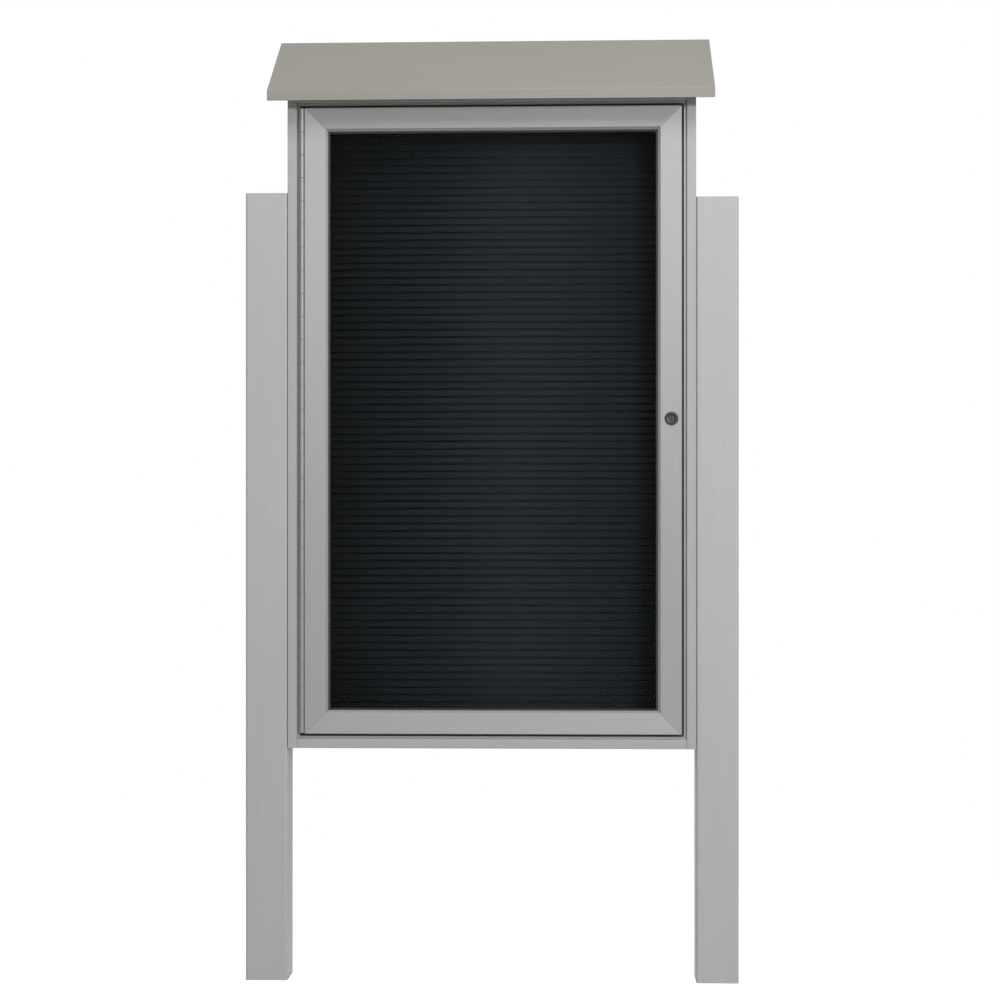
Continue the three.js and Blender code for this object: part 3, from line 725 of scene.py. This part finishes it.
def under_roof(y):
    """Height of the roof's underside at a depth."""
    return eave_corner + (y - roof_low.y) * math.tan(ROOF_SLOPE)


print("height of the eave's lower corner in mm:", round(eave_corner / MM, 1))

# %% Counterbores
PLANK_ARRIS = 2 * MM
COUNTERBORE_RADIUS = 5.4 * MM
SUNK_HEAD_HEIGHT = 3 * MM
SCREW_NAMES = sorted(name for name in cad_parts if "_screw_" in name)


def counterbore(screw):
    """A short round cutter round a sunk screw head, out through the plank's face."""
    low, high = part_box(screw)
    side = screw.split("_")[0]
    outward, outermost = (-1, 0) if side == "left" else (1, 1)
    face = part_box(f"{side}_side_plank")[outermost].x
    floor_x = (low, high)[outermost].x - outward * SUNK_HEAD_HEIGHT
    floor_middle = (floor_x, (low.y + high.y) / 2, (low.z + high.z) / 2)
    profile = rod_profile(COUNTERBORE_RADIUS, abs(face - floor_x) + PLANK_ARRIS)
    name = f"{screw}_cutter"
    return turned(name, profile, SMALL_SIDES, at=floor_middle, axis=(outward, 0, 0))


print("screws in the solid model:", len(SCREW_NAMES))

# %% Two side planks
PLANK_THICKNESS = 20 * MM
RABBET_WIDTH = 10 * MM
PANEL_THICKNESS = 9 * MM
SEAT = 0.3 * MM


def rabbeted(inner, outer, front, back):
    """(across, deep, radius) corners of a plank with a rabbet for the back panel."""
    rabbet = inner + math.copysign(RABBET_WIDTH, outer - inner)
    shoulder = back - PANEL_THICKNESS - SEAT
    return [
        (inner, front, PLANK_ARRIS),
        (outer, front, PLANK_ARRIS),
        (outer, back, PLANK_ARRIS),
        (rabbet, back, 0),
        (rabbet, shoulder, 0),
        (inner, shoulder, 0),
    ]


for side, outward in (("left", -1), ("right", 1)):
    low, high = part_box(f"{side}_side_plank")
    outer = low.x if outward < 0 else high.x
    inner = outer - outward * PLANK_THICKNESS
    section = rounded(rabbeted(inner, outer, low.y, high.y))
    plank = bar(f"{side}_lumber_side", section, along_z,
                lambda point: low.z, lambda point: under_roof(point.y) - SEAT)
    sunk = [name for name in SCREW_NAMES if name.startswith(f"{side}_corner")]
    carve(plank, [counterbore(name) for name in sunk])
    finish_piece(plank, "cabinet", upright_lumber, [f"{side}_side_plank"])
    print(plank.name, "with", len(sunk), "counterbores")

# %% [markdown]
# ## Cross planks and cleats
# The top and bottom planks fit between the side planks, and two bevelled cleats fill the
# wedge between the top plank and the roof. They run level, so the grain runs along X.

# %% Top and bottom planks
def cross_plank(node, outer_is_high):
    """A level plank with rounded outer arrises and a rabbet for the back panel."""
    low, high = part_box(node)
    outer, inner = (high.z, low.z) if outer_is_high else (low.z, high.z)
    corners = rabbeted(inner, outer, low.y, high.y)
    section = rounded([(deep, across, radius) for across, deep, radius in corners])
    plank = straight_bar(f"{node}_lumber", section, along_x, low.x, high.x)
    return finish_piece(plank, "cabinet", level_lumber, [node])


cross_planks = [cross_plank("top_plank", True), cross_plank("bottom_plank", False)]
print("cross planks:", [plank.name for plank in cross_planks])

# %% Cleats under the roof
def cleat(node):
    """A level cleat whose top is bevelled to the roof."""
    low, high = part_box(node)
    section = rounded([
        (low.y, low.z, 0),
        (high.y, low.z, 0),
        (high.y, under_roof(high.y) - SEAT, 0),
        (low.y, under_roof(low.y) - SEAT, 0),
    ])
    made = straight_bar(f"{node}_lumber", section, along_x, low.x, high.x)
    return finish_piece(made, "cabinet", level_lumber, [node])


cleats = [cleat("front_roof_cleat"), cleat("rear_roof_cleat")]
print("cleats:", [made.name for made in cleats])

# %% [markdown]
# ## Roof
# One wide plank makes the roof. Its eaves are cut plumb and its upper front edge is well
# rounded, so the light rolls over it. The edge beneath is nearly sharp, and there the light
# drops at once to the shadow.

# %% Roof plank
ROOF_ARRIS = 5 * MM
EAVE_ARRIS = 0.85 * MM

roof_section = rounded([
    (roof_low.y, eave_corner, EAVE_ARRIS),
    (roof_high.y, under_roof(roof_high.y), ROOF_ARRIS),
    (roof_high.y, under_roof(roof_high.y) + roof_plumb, EAVE_ARRIS),
    (roof_low.y, eave_corner + roof_plumb, ROOF_ARRIS),
])
roof = straight_bar("lumber_roof", roof_section, along_x, roof_low.x, roof_high.x)
finish_piece(roof, "cabinet", roof_lumber, ["roof_plank"], edge=1.2 * MM)
print("roof width in mm:", round((roof_high.x - roof_low.x) / MM, 1))

# %% [markdown]
# ## Back panel
# The back panel is a sheet of the same plastic that drops into the rabbets all round.

# %% Back panel
panel_low, panel_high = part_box("back_panel")
panel_section = square_section(panel_low, panel_high, 0)
panel = straight_bar("lumber_back_panel", panel_section, along_z, panel_low.z, panel_high.z)
finish_piece(panel, "cabinet", upright_lumber, ["back_panel"])
print("panel size in mm:", [round(side / MM) for side in panel_high - panel_low])

# %% [markdown]
# ## Letter board
# The grooves hold the tabs of changeable letters. A painted stripe would look flat when the
# door is open, so every groove is real: its mouth is wider than its floor and its lips are
# rounded, which gives each groove the thin light line that shows in the photograph.

# %% Grooved letter board
GROOVE_PITCH = 16 * MM
GROOVE_MOUTH = 4.6 * MM
GROOVE_FLOOR = 3.2 * MM
GROOVE_DEPTH = 4 * MM
GROOVE_LIP = 0.7 * MM
GROOVE_ARC_STEPS = 3

board_low, board_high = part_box("letter_board")
board_height = board_high.z - board_low.z
groove_count = math.floor(board_height / GROOVE_PITCH) - 1
first_groove = board_low.z + (board_height - (groove_count - 1) * GROOVE_PITCH) / 2
board_corners = [(board_high.y, board_low.z, 0), (board_low.y, board_low.z, 0)]
for groove in range(groove_count):
    middle = first_groove + groove * GROOVE_PITCH
    board_corners += [
        (board_low.y, middle - GROOVE_MOUTH / 2, GROOVE_LIP),
        (board_low.y + GROOVE_DEPTH, middle - GROOVE_FLOOR / 2, 0),
        (board_low.y + GROOVE_DEPTH, middle + GROOVE_FLOOR / 2, 0),
        (board_low.y, middle + GROOVE_MOUTH / 2, GROOVE_LIP),
    ]
board_corners += [(board_low.y, board_high.z, 0), (board_high.y, board_high.z, 0)]
board_section = rounded(board_corners, GROOVE_ARC_STEPS)
board = straight_bar("grooved_letter_board", board_section, along_x, board_low.x, board_high.x)
finish_piece(board, "cabinet", board_vinyl, ["letter_board"], edge=0)
print("grooves:", groove_count)

# %% [markdown]
# ## Door frame
# Four lengths of one extrusion meet in mitres. The section has a flat face, a lip that falls
# back from it and holds the glazing, a slot, and a second lip behind. Each bar is drawn from
# its outer corner inwards, and the distance in from the edge also sets where its mitre starts.

# %% Section of the door frame
DOOR_DEPTH = 25 * MM
FACE_WIDTH = 44.8 * MM
FRAME_ARRIS = 1 * MM
LIP_WIDTH = 5 * MM
LIP_SETBACK = 1.5 * MM
LIP_FALL = 3 * MM
LIP_EDGE = 1 * MM
LIP_THICKNESS = 2 * MM
LIP_ARRIS = 0.3 * MM
SLOT_DEPTH = 10 * MM
SLOT_WIDTH = 7 * MM

sight_width = FACE_WIDTH + LIP_WIDTH
lip_tip = LIP_SETBACK + LIP_FALL
slot_front = lip_tip + LIP_EDGE
slot_floor = sight_width - SLOT_DEPTH
rear_lip = slot_front + SLOT_WIDTH
door_section = rounded([
    (0, 0, FRAME_ARRIS),
    (FACE_WIDTH, 0, FRAME_ARRIS),
    (FACE_WIDTH, LIP_SETBACK, 0),
    (sight_width, lip_tip, LIP_ARRIS),
    (sight_width, slot_front, LIP_ARRIS),
    (slot_floor, slot_front, 0),
    (slot_floor, rear_lip, 0),
    (sight_width, rear_lip, LIP_ARRIS),
    (sight_width, rear_lip + LIP_THICKNESS, LIP_ARRIS),
    (slot_floor, rear_lip + LIP_THICKNESS, 0),
    (slot_floor, DOOR_DEPTH, FRAME_ARRIS),
    (0, DOOR_DEPTH, FRAME_ARRIS),
])
print("frame width up to the glazing in mm:", round(sight_width / MM, 1))

# %% Bore for the lock
BORE_RADIUS = 9.8 * MM
BORE_OVERRUN = 5 * MM

door_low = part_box("left_stile")[0]
door_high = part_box("right_stile")[1]
lock_low, lock_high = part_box("lock_body")
lock_middle = (lock_low + lock_high) / 2


def lock_bore():
    """A round cutter through the right stile, for the lock's barrel."""
    profile = rod_profile(BORE_RADIUS, DOOR_DEPTH + BORE_OVERRUN * 2)
    back = (lock_middle.x, door_low.y + DOOR_DEPTH + BORE_OVERRUN, lock_middle.z)
    return turned("lock_bore", profile, at=back)


print("height of the lock in mm:", round(lock_middle.z / MM, 1))

# %% Mitred bars
MITRE_GAP = 0.3 * MM

# Each bar has its starting corner, the way in, the way along, and its length.
door_width = door_high.x - door_low.x
door_height = door_high.z - door_low.z
DOOR_BARS = {
    "left_stile": ((door_low.x, door_low.z), (1, 0), (0, 1), door_height),
    "top_rail": ((door_low.x, door_high.z), (0, -1), (1, 0), door_width),
    "right_stile": ((door_high.x, door_high.z), (-1, 0), (0, -1), door_height),
    "bottom_rail": ((door_high.x, door_low.z), (0, 1), (-1, 0), door_width),
}


def door_bar(node):
    """One mitred bar of the door frame."""
    corner, inward, onward, length = DOOR_BARS[node]

    def place(point, distance):
        x = corner[0] + inward[0] * point.x + onward[0] * distance
        z = corner[1] + inward[1] * point.x + onward[1] * distance
        return (x, door_low.y + point.y, z)

    mitre = MITRE_GAP / math.sqrt(2)
    made = bar(f"{node}_bar", door_section, place,
               lambda point: point.x + mitre, lambda point: length - point.x - mitre)
    if node == "right_stile":
        carve(made, [lock_bore()])
    grain = upright_aluminium if node.endswith("stile") else level_aluminium
    finish_piece(made, "door", grain, [node], edge=0.15 * MM)
    # The lip's faces take the second finish, whose darker grey is painted shade.
    made.data.materials.append(lip_shaded_aluminium)
    for face in made.data.polygons:
        across = (face.center.x - corner[0]) * inward[0]
        upward = (face.center.z - corner[1]) * inward[1]
        if across + upward > FACE_WIDTH + LIP_ARRIS:
            face.material_index = 1
    return made


bars = [door_bar(node) for node in DOOR_BARS]
print("door in mm:", round(door_width / MM), "by", round(door_height / MM))

# %% [markdown]
# ## Continuous hinge
# Two steel leaves run the door's full height, and their knuckles take turns along one pin.
# Each leaf is a flat plate with the knuckles curled from it. The low-headed screws that hold
# the leaves are too small for the solid model, and they are made after the other screws.

# %% Outlines of a leaf
KNUCKLE_RADIUS = 5.2 * MM
KNUCKLE_GAP = 0.6 * MM
LEAF_THICKNESS = 1.5 * MM
CURL_STEPS = 20

pin_low, pin_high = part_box("hinge_pin")
hinge_axis = Vector(((pin_low.x + pin_high.x) / 2, (pin_low.y + pin_high.y) / 2))
leaf_inside = KNUCKLE_RADIUS - LEAF_THICKNESS
plate_start = math.sqrt((KNUCKLE_RADIUS + KNUCKLE_GAP) ** 2 - leaf_inside ** 2)


def plate_outline(side, back):
    """The flat plate on one side of the pin, clear of the other leaf's knuckles."""
    return [
        hinge_axis + Vector((side * leaf_inside, plate_start)),
        hinge_axis + Vector((side * KNUCKLE_RADIUS, plate_start)),
        Vector((hinge_axis.x + side * KNUCKLE_RADIUS, back)),
        Vector((hinge_axis.x + side * leaf_inside, back)),
    ]


def knuckle_outline(side):
    """The plate's metal curled round the pin."""
    wrap = math.atan2(math.sqrt(KNUCKLE_RADIUS ** 2 - leaf_inside ** 2), leaf_inside)
    curl = [hinge_axis + Vector((side * KNUCKLE_RADIUS, plate_start))]
    for step in range(CURL_STEPS + 1):
        angle = -(math.tau - wrap) * step / CURL_STEPS
        spot = Vector((side * math.cos(angle), math.sin(angle))) * KNUCKLE_RADIUS
        curl.append(hinge_axis + spot)
    curl.append(hinge_axis + Vector((side * leaf_inside, plate_start)))
    return curl


print("the plates start behind the axis by, in mm:", round(plate_start / MM, 2))

# %% Two hinge leaves
KNUCKLE_COUNT = 27

knuckle_pitch = (pin_high.z - pin_low.z) / KNUCKLE_COUNT


def hinge_leaf(node, side, body):
    """A plate on one side of the pin, with every other knuckle curled round it."""
    plate = plate_outline(side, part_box(node)[1].y)
    knuckle = knuckle_outline(side)

    def build(work):
        stretches = [(plate, pin_low.z, pin_high.z)]
        for turn in range(1 if side > 0 else 0, KNUCKLE_COUNT, 2):
            start = pin_low.z + turn * knuckle_pitch
            end = start + knuckle_pitch
            stretches.append((knuckle, start + KNUCKLE_GAP / 2, end - KNUCKLE_GAP / 2))
        for outline, start, end in stretches:
            rings = [[work.verts.new((*point, z)) for point in outline] for z in (start, end)]
            close_rings(work, rings)

    made = object_from(f"{node}_steel", build)
    return finish_piece(made, body, hinge_steel, [node], edge=0.2 * MM)


leaves = [hinge_leaf("hinge_case_leaf", -1, "cabinet"), hinge_leaf("hinge_door_leaf", 1, "door")]
print("hinge leaves:", [leaf.name for leaf in leaves])
print("knuckle pitch in mm:", round(knuckle_pitch / MM, 1))

# %% Hinge pin
PIN_RADIUS = 2.4 * MM
PIN_END_RADIUS = PIN_RADIUS * 0.8
PIN_CHAMFER = PIN_RADIUS * 0.3

pin_length = pin_high.z - pin_low.z
pin_profile = [
    (0, 0),
    (PIN_END_RADIUS, 0),
    (PIN_RADIUS, PIN_CHAMFER),
    (PIN_RADIUS, pin_length - PIN_CHAMFER),
    (PIN_END_RADIUS, pin_length),
    (0, pin_length),
]
pin_foot = (hinge_axis.x, hinge_axis.y, pin_low.z)
pin = turned("hinge_pin_steel", pin_profile, TINY_SIDES, at=pin_foot, axis=(0, 0, 1))
finish_piece(pin, "cabinet", hinge_steel, ["hinge_pin"], edge=0)
print("pin length in mm:", round(pin_length / MM, 1))

# %% [markdown]
# ## Lock
# The lock is turned on a lathe: a round flange with a soft outer edge and a dish in the
# middle, and a plug with a keyway that sits in it. The two are separate pieces because the
# plug turns with the key.

# %% Lock body
FLANGE_RADIUS = 14 * MM
FLANGE_THICKNESS = 3.5 * MM
FLANGE_ROUND = 2.4 * MM
FLANGE_ARRIS = 0.3 * MM
DISH_ROUND = 0.9 * MM
DISH_ARRIS = 0.2 * MM
BARREL_RADIUS = 9.5 * MM
PLUG_RADIUS = 6.5 * MM
PLUG_RECESS = 0.8 * MM
LOCK_ARC_STEPS = 5

barrel_back = -(lock_high.y - door_low.y)
lock_face = (lock_middle.x, door_low.y, lock_middle.z)
plug_front = FLANGE_THICKNESS - PLUG_RECESS
dish_rim = (PLUG_RADIUS + FLANGE_RADIUS) / 2 - SEAT
body_outline = rounded([
    (PLUG_RADIUS + SEAT, barrel_back, 0),
    (BARREL_RADIUS, barrel_back, 0),
    (BARREL_RADIUS, SEAT, 0),
    (FLANGE_RADIUS, SEAT, FLANGE_ARRIS),
    (FLANGE_RADIUS, FLANGE_THICKNESS, FLANGE_ROUND),
    (dish_rim, FLANGE_THICKNESS, DISH_ROUND),
    (PLUG_RADIUS + SEAT, plug_front, DISH_ARRIS),
], LOCK_ARC_STEPS)
body_profile = [tuple(point) for point in body_outline]
lock_body = turned("lock_body_turned", body_profile, FLANGE_SIDES, ring=True, at=lock_face)
finish_piece(lock_body, "door", dark_nickel, ["lock_body"], edge=0)
print("lock face in mm:", round(FLANGE_RADIUS * 2 / MM))

# %% Lock plug
STUB_RADIUS = 3.5 * MM
PLUG_EDGE = 0.5 * MM

stub_end = -(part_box("lock_plug")[1].y - door_low.y)
plug_profile = [
    (0, plug_front),
    (PLUG_RADIUS - PLUG_EDGE, plug_front),
    (PLUG_RADIUS, plug_front - PLUG_EDGE),
    (PLUG_RADIUS, barrel_back),
    (STUB_RADIUS, barrel_back),
    (STUB_RADIUS, stub_end),
    (0, stub_end),
]
lock_plug = turned("lock_plug_turned", plug_profile, at=lock_face)
print("plug length in mm:", round((plug_front - stub_end) / MM, 1))

# %% Keyway
KEYWAY_HALF_WIDTH = 0.9 * MM
KEYWAY_HALF_HEIGHT = 4 * MM
KEYWAY_WARD = 0.9 * MM
KEYWAY_DEPTH = 6 * MM

ward_reach = KEYWAY_HALF_WIDTH + KEYWAY_WARD
ward_half_height = KEYWAY_HALF_HEIGHT / 4
keyway_corners = [
    (-KEYWAY_HALF_WIDTH, -KEYWAY_HALF_HEIGHT),
    (KEYWAY_HALF_WIDTH, -KEYWAY_HALF_HEIGHT),
    (KEYWAY_HALF_WIDTH, -ward_half_height),
    (ward_reach, -ward_half_height),
    (ward_reach, ward_half_height),
    (KEYWAY_HALF_WIDTH, ward_half_height),
    (KEYWAY_HALF_WIDTH, KEYWAY_HALF_HEIGHT),
    (-KEYWAY_HALF_WIDTH, KEYWAY_HALF_HEIGHT),
]
keyway = straight_bar(
    "keyway",
    [Vector(corner) for corner in keyway_corners],
    lambda point, distance: (lock_face[0] + point.x, distance, lock_face[2] + point.y),
    lock_face[1] - FLANGE_THICKNESS - BORE_OVERRUN,
    lock_face[1] - plug_front + KEYWAY_DEPTH,
)
carve(lock_plug, [keyway])
finish_piece(lock_plug, "lock_barrel", plug_nickel, ["lock_plug"], edge=0.1 * MM)
print("keyway height in mm:", round(KEYWAY_HALF_HEIGHT * 2 / MM))

# %% [markdown]
# ## Screws
# A screw head shows its drive: post screws have hexagon heads for a spanner, and the others
# have pan heads with a cross recess. The hinge leaves are held by many small ones. Each
# screw is turned to its profile, and a tapered cross is cut out of each pan head.

# %% Cross recess
CROSS_REACH_SHARE = 0.55
CROSS_WIDTH_SHARE = 0.13
CROSS_DEPTH_SHARE = 0.6
CROSS_TAPER_SHARE = 0.45
CROSS_OVERRUN_SHARE = 1.2


def cross_cutter(name, radius, height, at, outward):
    """A tapered cross that sinks into a screw head of this radius and height."""
    reach = radius * CROSS_REACH_SHARE
    width = radius * CROSS_WIDTH_SHARE
    quarter = [Vector((reach, -width)), Vector((reach, width)), Vector((width, width))]
    turns = [Matrix.Rotation(math.pi / 2 * turn, 2) for turn in range(4)]
    points = [turn @ point for turn in turns for point in quarter]
    settle = stand(at, outward)
    levels = (
        (height * (1 - CROSS_DEPTH_SHARE), CROSS_TAPER_SHARE),
        (height * CROSS_OVERRUN_SHARE, 1),
    )

    def build(work):
        rings = []
        for level, share in levels:
            spots = [settle @ Vector((point.x * share, point.y * share, level)) for point in points]
            rings.append([work.verts.new(spot) for spot in spots])
        close_rings(work, rings)
    return object_from(name, build)


print("a recess reaches", CROSS_REACH_SHARE, "of the head's radius")

# %% Screw heads
PAN_RIM_SHARE = 0.4
DOME_STEPS = 6
DOME_STEP_DEGREES = 15
WASHER_SHARE = 0.2
HEXAGON_SIDES = 6
HEXAGON_SHARE = 0.94
CROWN_SHARE = 0.87


def pan_head(radius, height):
    """The upper part of a screw's profile: a low dome over a short upright rim."""
    angles = [math.radians(DOME_STEP_DEGREES * step) for step in range(DOME_STEPS)]
    levels = [PAN_RIM_SHARE + (1 - PAN_RIM_SHARE) * math.sin(angle) for angle in angles]
    dome = [(radius * math.cos(angle), height * level) for angle, level in zip(angles, levels)]
    return [(radius, 0), *dome, (0, height)]


def hexagon_head(name, radius, height, at, outward):
    """A hexagon over a thin round washer, with its top corners turned off."""
    washer = height * WASHER_SHARE
    top = height * (1 - WASHER_SHARE / 2)
    corner = radius * HEXAGON_SHARE
    crown = corner * CROWN_SHARE
    profile = [(0, washer), (corner, washer), (corner, top), (crown, height), (0, height)]
    return turned(name, profile, HEXAGON_SIDES, at=at, axis=outward)


def merged(name, parts):
    """One object from several, which are removed."""
    def build(work):
        for part in parts:
            work.from_mesh(part.data)
    made = object_from(name, build)
    for part in parts:
        bpy.data.objects.remove(part)
    return made


print("a pan head's rim is", PAN_RIM_SHARE, "of its height")

# %% Screws in their places
# Each kind has its drive, the way it is driven, its head's radius and height, and its shank.
SCREW_KINDS = {
    "left_post": ("hexagon", (-1, 0, 0), 8 * MM, 5.5 * MM, 4 * MM),
    "right_post": ("hexagon", (1, 0, 0), 8 * MM, 5.5 * MM, 4 * MM),
    "left_corner": ("cross", (1, 0, 0), 5 * MM, 3 * MM, 2.5 * MM),
    "right_corner": ("cross", (-1, 0, 0), 5 * MM, 3 * MM, 2.5 * MM),
    "front_roof": ("cross", (0, 0, 1), 5.5 * MM, 3 * MM, 2.75 * MM),
    "rear_roof": ("cross", (0, 0, 1), 5.5 * MM, 3 * MM, 2.75 * MM),
    "back_panel": ("cross", (0, -1, 0), 4 * MM, 2.6 * MM, 2 * MM),
    "letter_board": ("cross", (0, 1, 0), 4.5 * MM, 2.6 * MM, 2 * MM),
}


def screw(node):
    """A turned screw in the place of a plain one, with its drive."""
    drive, toward, radius, height, shank = SCREW_KINDS[node.split("_screw_")[0]]
    low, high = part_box(node)
    toward = Vector(toward)
    span = abs((high - low).dot(toward))
    seat_place = (low + high) / 2 + toward * (height - span / 2)
    tip = height - span
    profile = [(0, tip), (shank, tip + shank * 2), (shank, 0)]
    name = f"{node}_turned"
    if drive == "cross":
        profile += pan_head(radius, height)
        made = turned(name, profile, SMALL_SIDES, at=seat_place, axis=-toward)
        carve(made, [cross_cutter(f"{node}_recess", radius, height, seat_place, -toward)])
    else:
        profile += [(radius, 0), (radius, height * WASHER_SHARE), (0, height * WASHER_SHARE)]
        shaft = turned(f"{node}_shank", profile, SMALL_SIDES, at=seat_place, axis=-toward)
        head = hexagon_head(f"{node}_hexagon", radius, height, seat_place, -toward)
        made = merged(name, [shaft, head])
    return finish_piece(made, "cabinet", screw_steel, [node], edge=0.15 * MM)


screws = [screw(node) for node in SCREW_NAMES]
print("screws:", len(screws))

# %% Hinge leaf screws
LEAF_SCREW_COUNT = 13
LEAF_SCREW_MARGIN = 30 * MM
LEAF_SCREW_DEPTH = 14 * MM
LEAF_SCREW_RADIUS = 3.2 * MM
LEAF_SCREW_HEIGHT = 0.9 * MM


def leaf_screws(side, body):
    """A row of low screw heads on the inner face of one hinge leaf."""
    outward = Vector((-side, 0, 0))
    face_x = hinge_axis.x + side * leaf_inside
    first = pin_low.z + LEAF_SCREW_MARGIN
    step = (pin_high.z - pin_low.z - LEAF_SCREW_MARGIN * 2) / (LEAF_SCREW_COUNT - 1)
    size = (LEAF_SCREW_RADIUS, LEAF_SCREW_HEIGHT)
    profile = [(0, 0), *pan_head(*size)]
    heads = []
    for index in range(LEAF_SCREW_COUNT):
        at = Vector((face_x, hinge_axis.y + LEAF_SCREW_DEPTH, first + step * index))
        head = turned("leaf_screw", profile, TINY_SIDES, at=at, axis=outward)
        carve(head, [cross_cutter("leaf_recess", *size, at, outward)])
        heads.append(head)
    made = merged("case_leaf_screws" if side < 0 else "door_leaf_screws", heads)
    return finish_piece(made, body, screw_steel, edge=0)


leaf_rows = [leaf_screws(-1, "cabinet"), leaf_screws(1, "door")]
print("rows of hinge screws:", [row.name for row in leaf_rows])

# %% [markdown]
# ## Finishes for the solids that keep their shape
# The case frame, corner keys, seals, glazing, nuts and the lock's inner parts are right as
# they are. Each gets the finish of its slot, and the case frame's grain follows each side.

# %% Materials on the remaining solids
NODE_FINISHES = {
    "case_frame_left": upright_aluminium,
    "case_frame_right": upright_aluminium,
    "case_frame_top": level_aluminium,
    "case_frame_bottom": level_aluminium,
    "glazing": clear_acrylic,
    "glazing_gasket": seal_rubber,
    "weather_seal": seal_rubber,
}


def finish_node(name):
    """Gives a solid that stays its own finish, or plain steel."""
    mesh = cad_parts[name].data
    fallback = upright_aluminium if name.startswith("corner_key") else screw_steel
    mesh.materials.clear()
    mesh.materials.append(NODE_FINISHES.get(name, fallback))


kept = [name for name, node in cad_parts.items() if not node.hide_render]
for name in kept:
    finish_node(name)
print("solids that keep their shape:", len(kept))
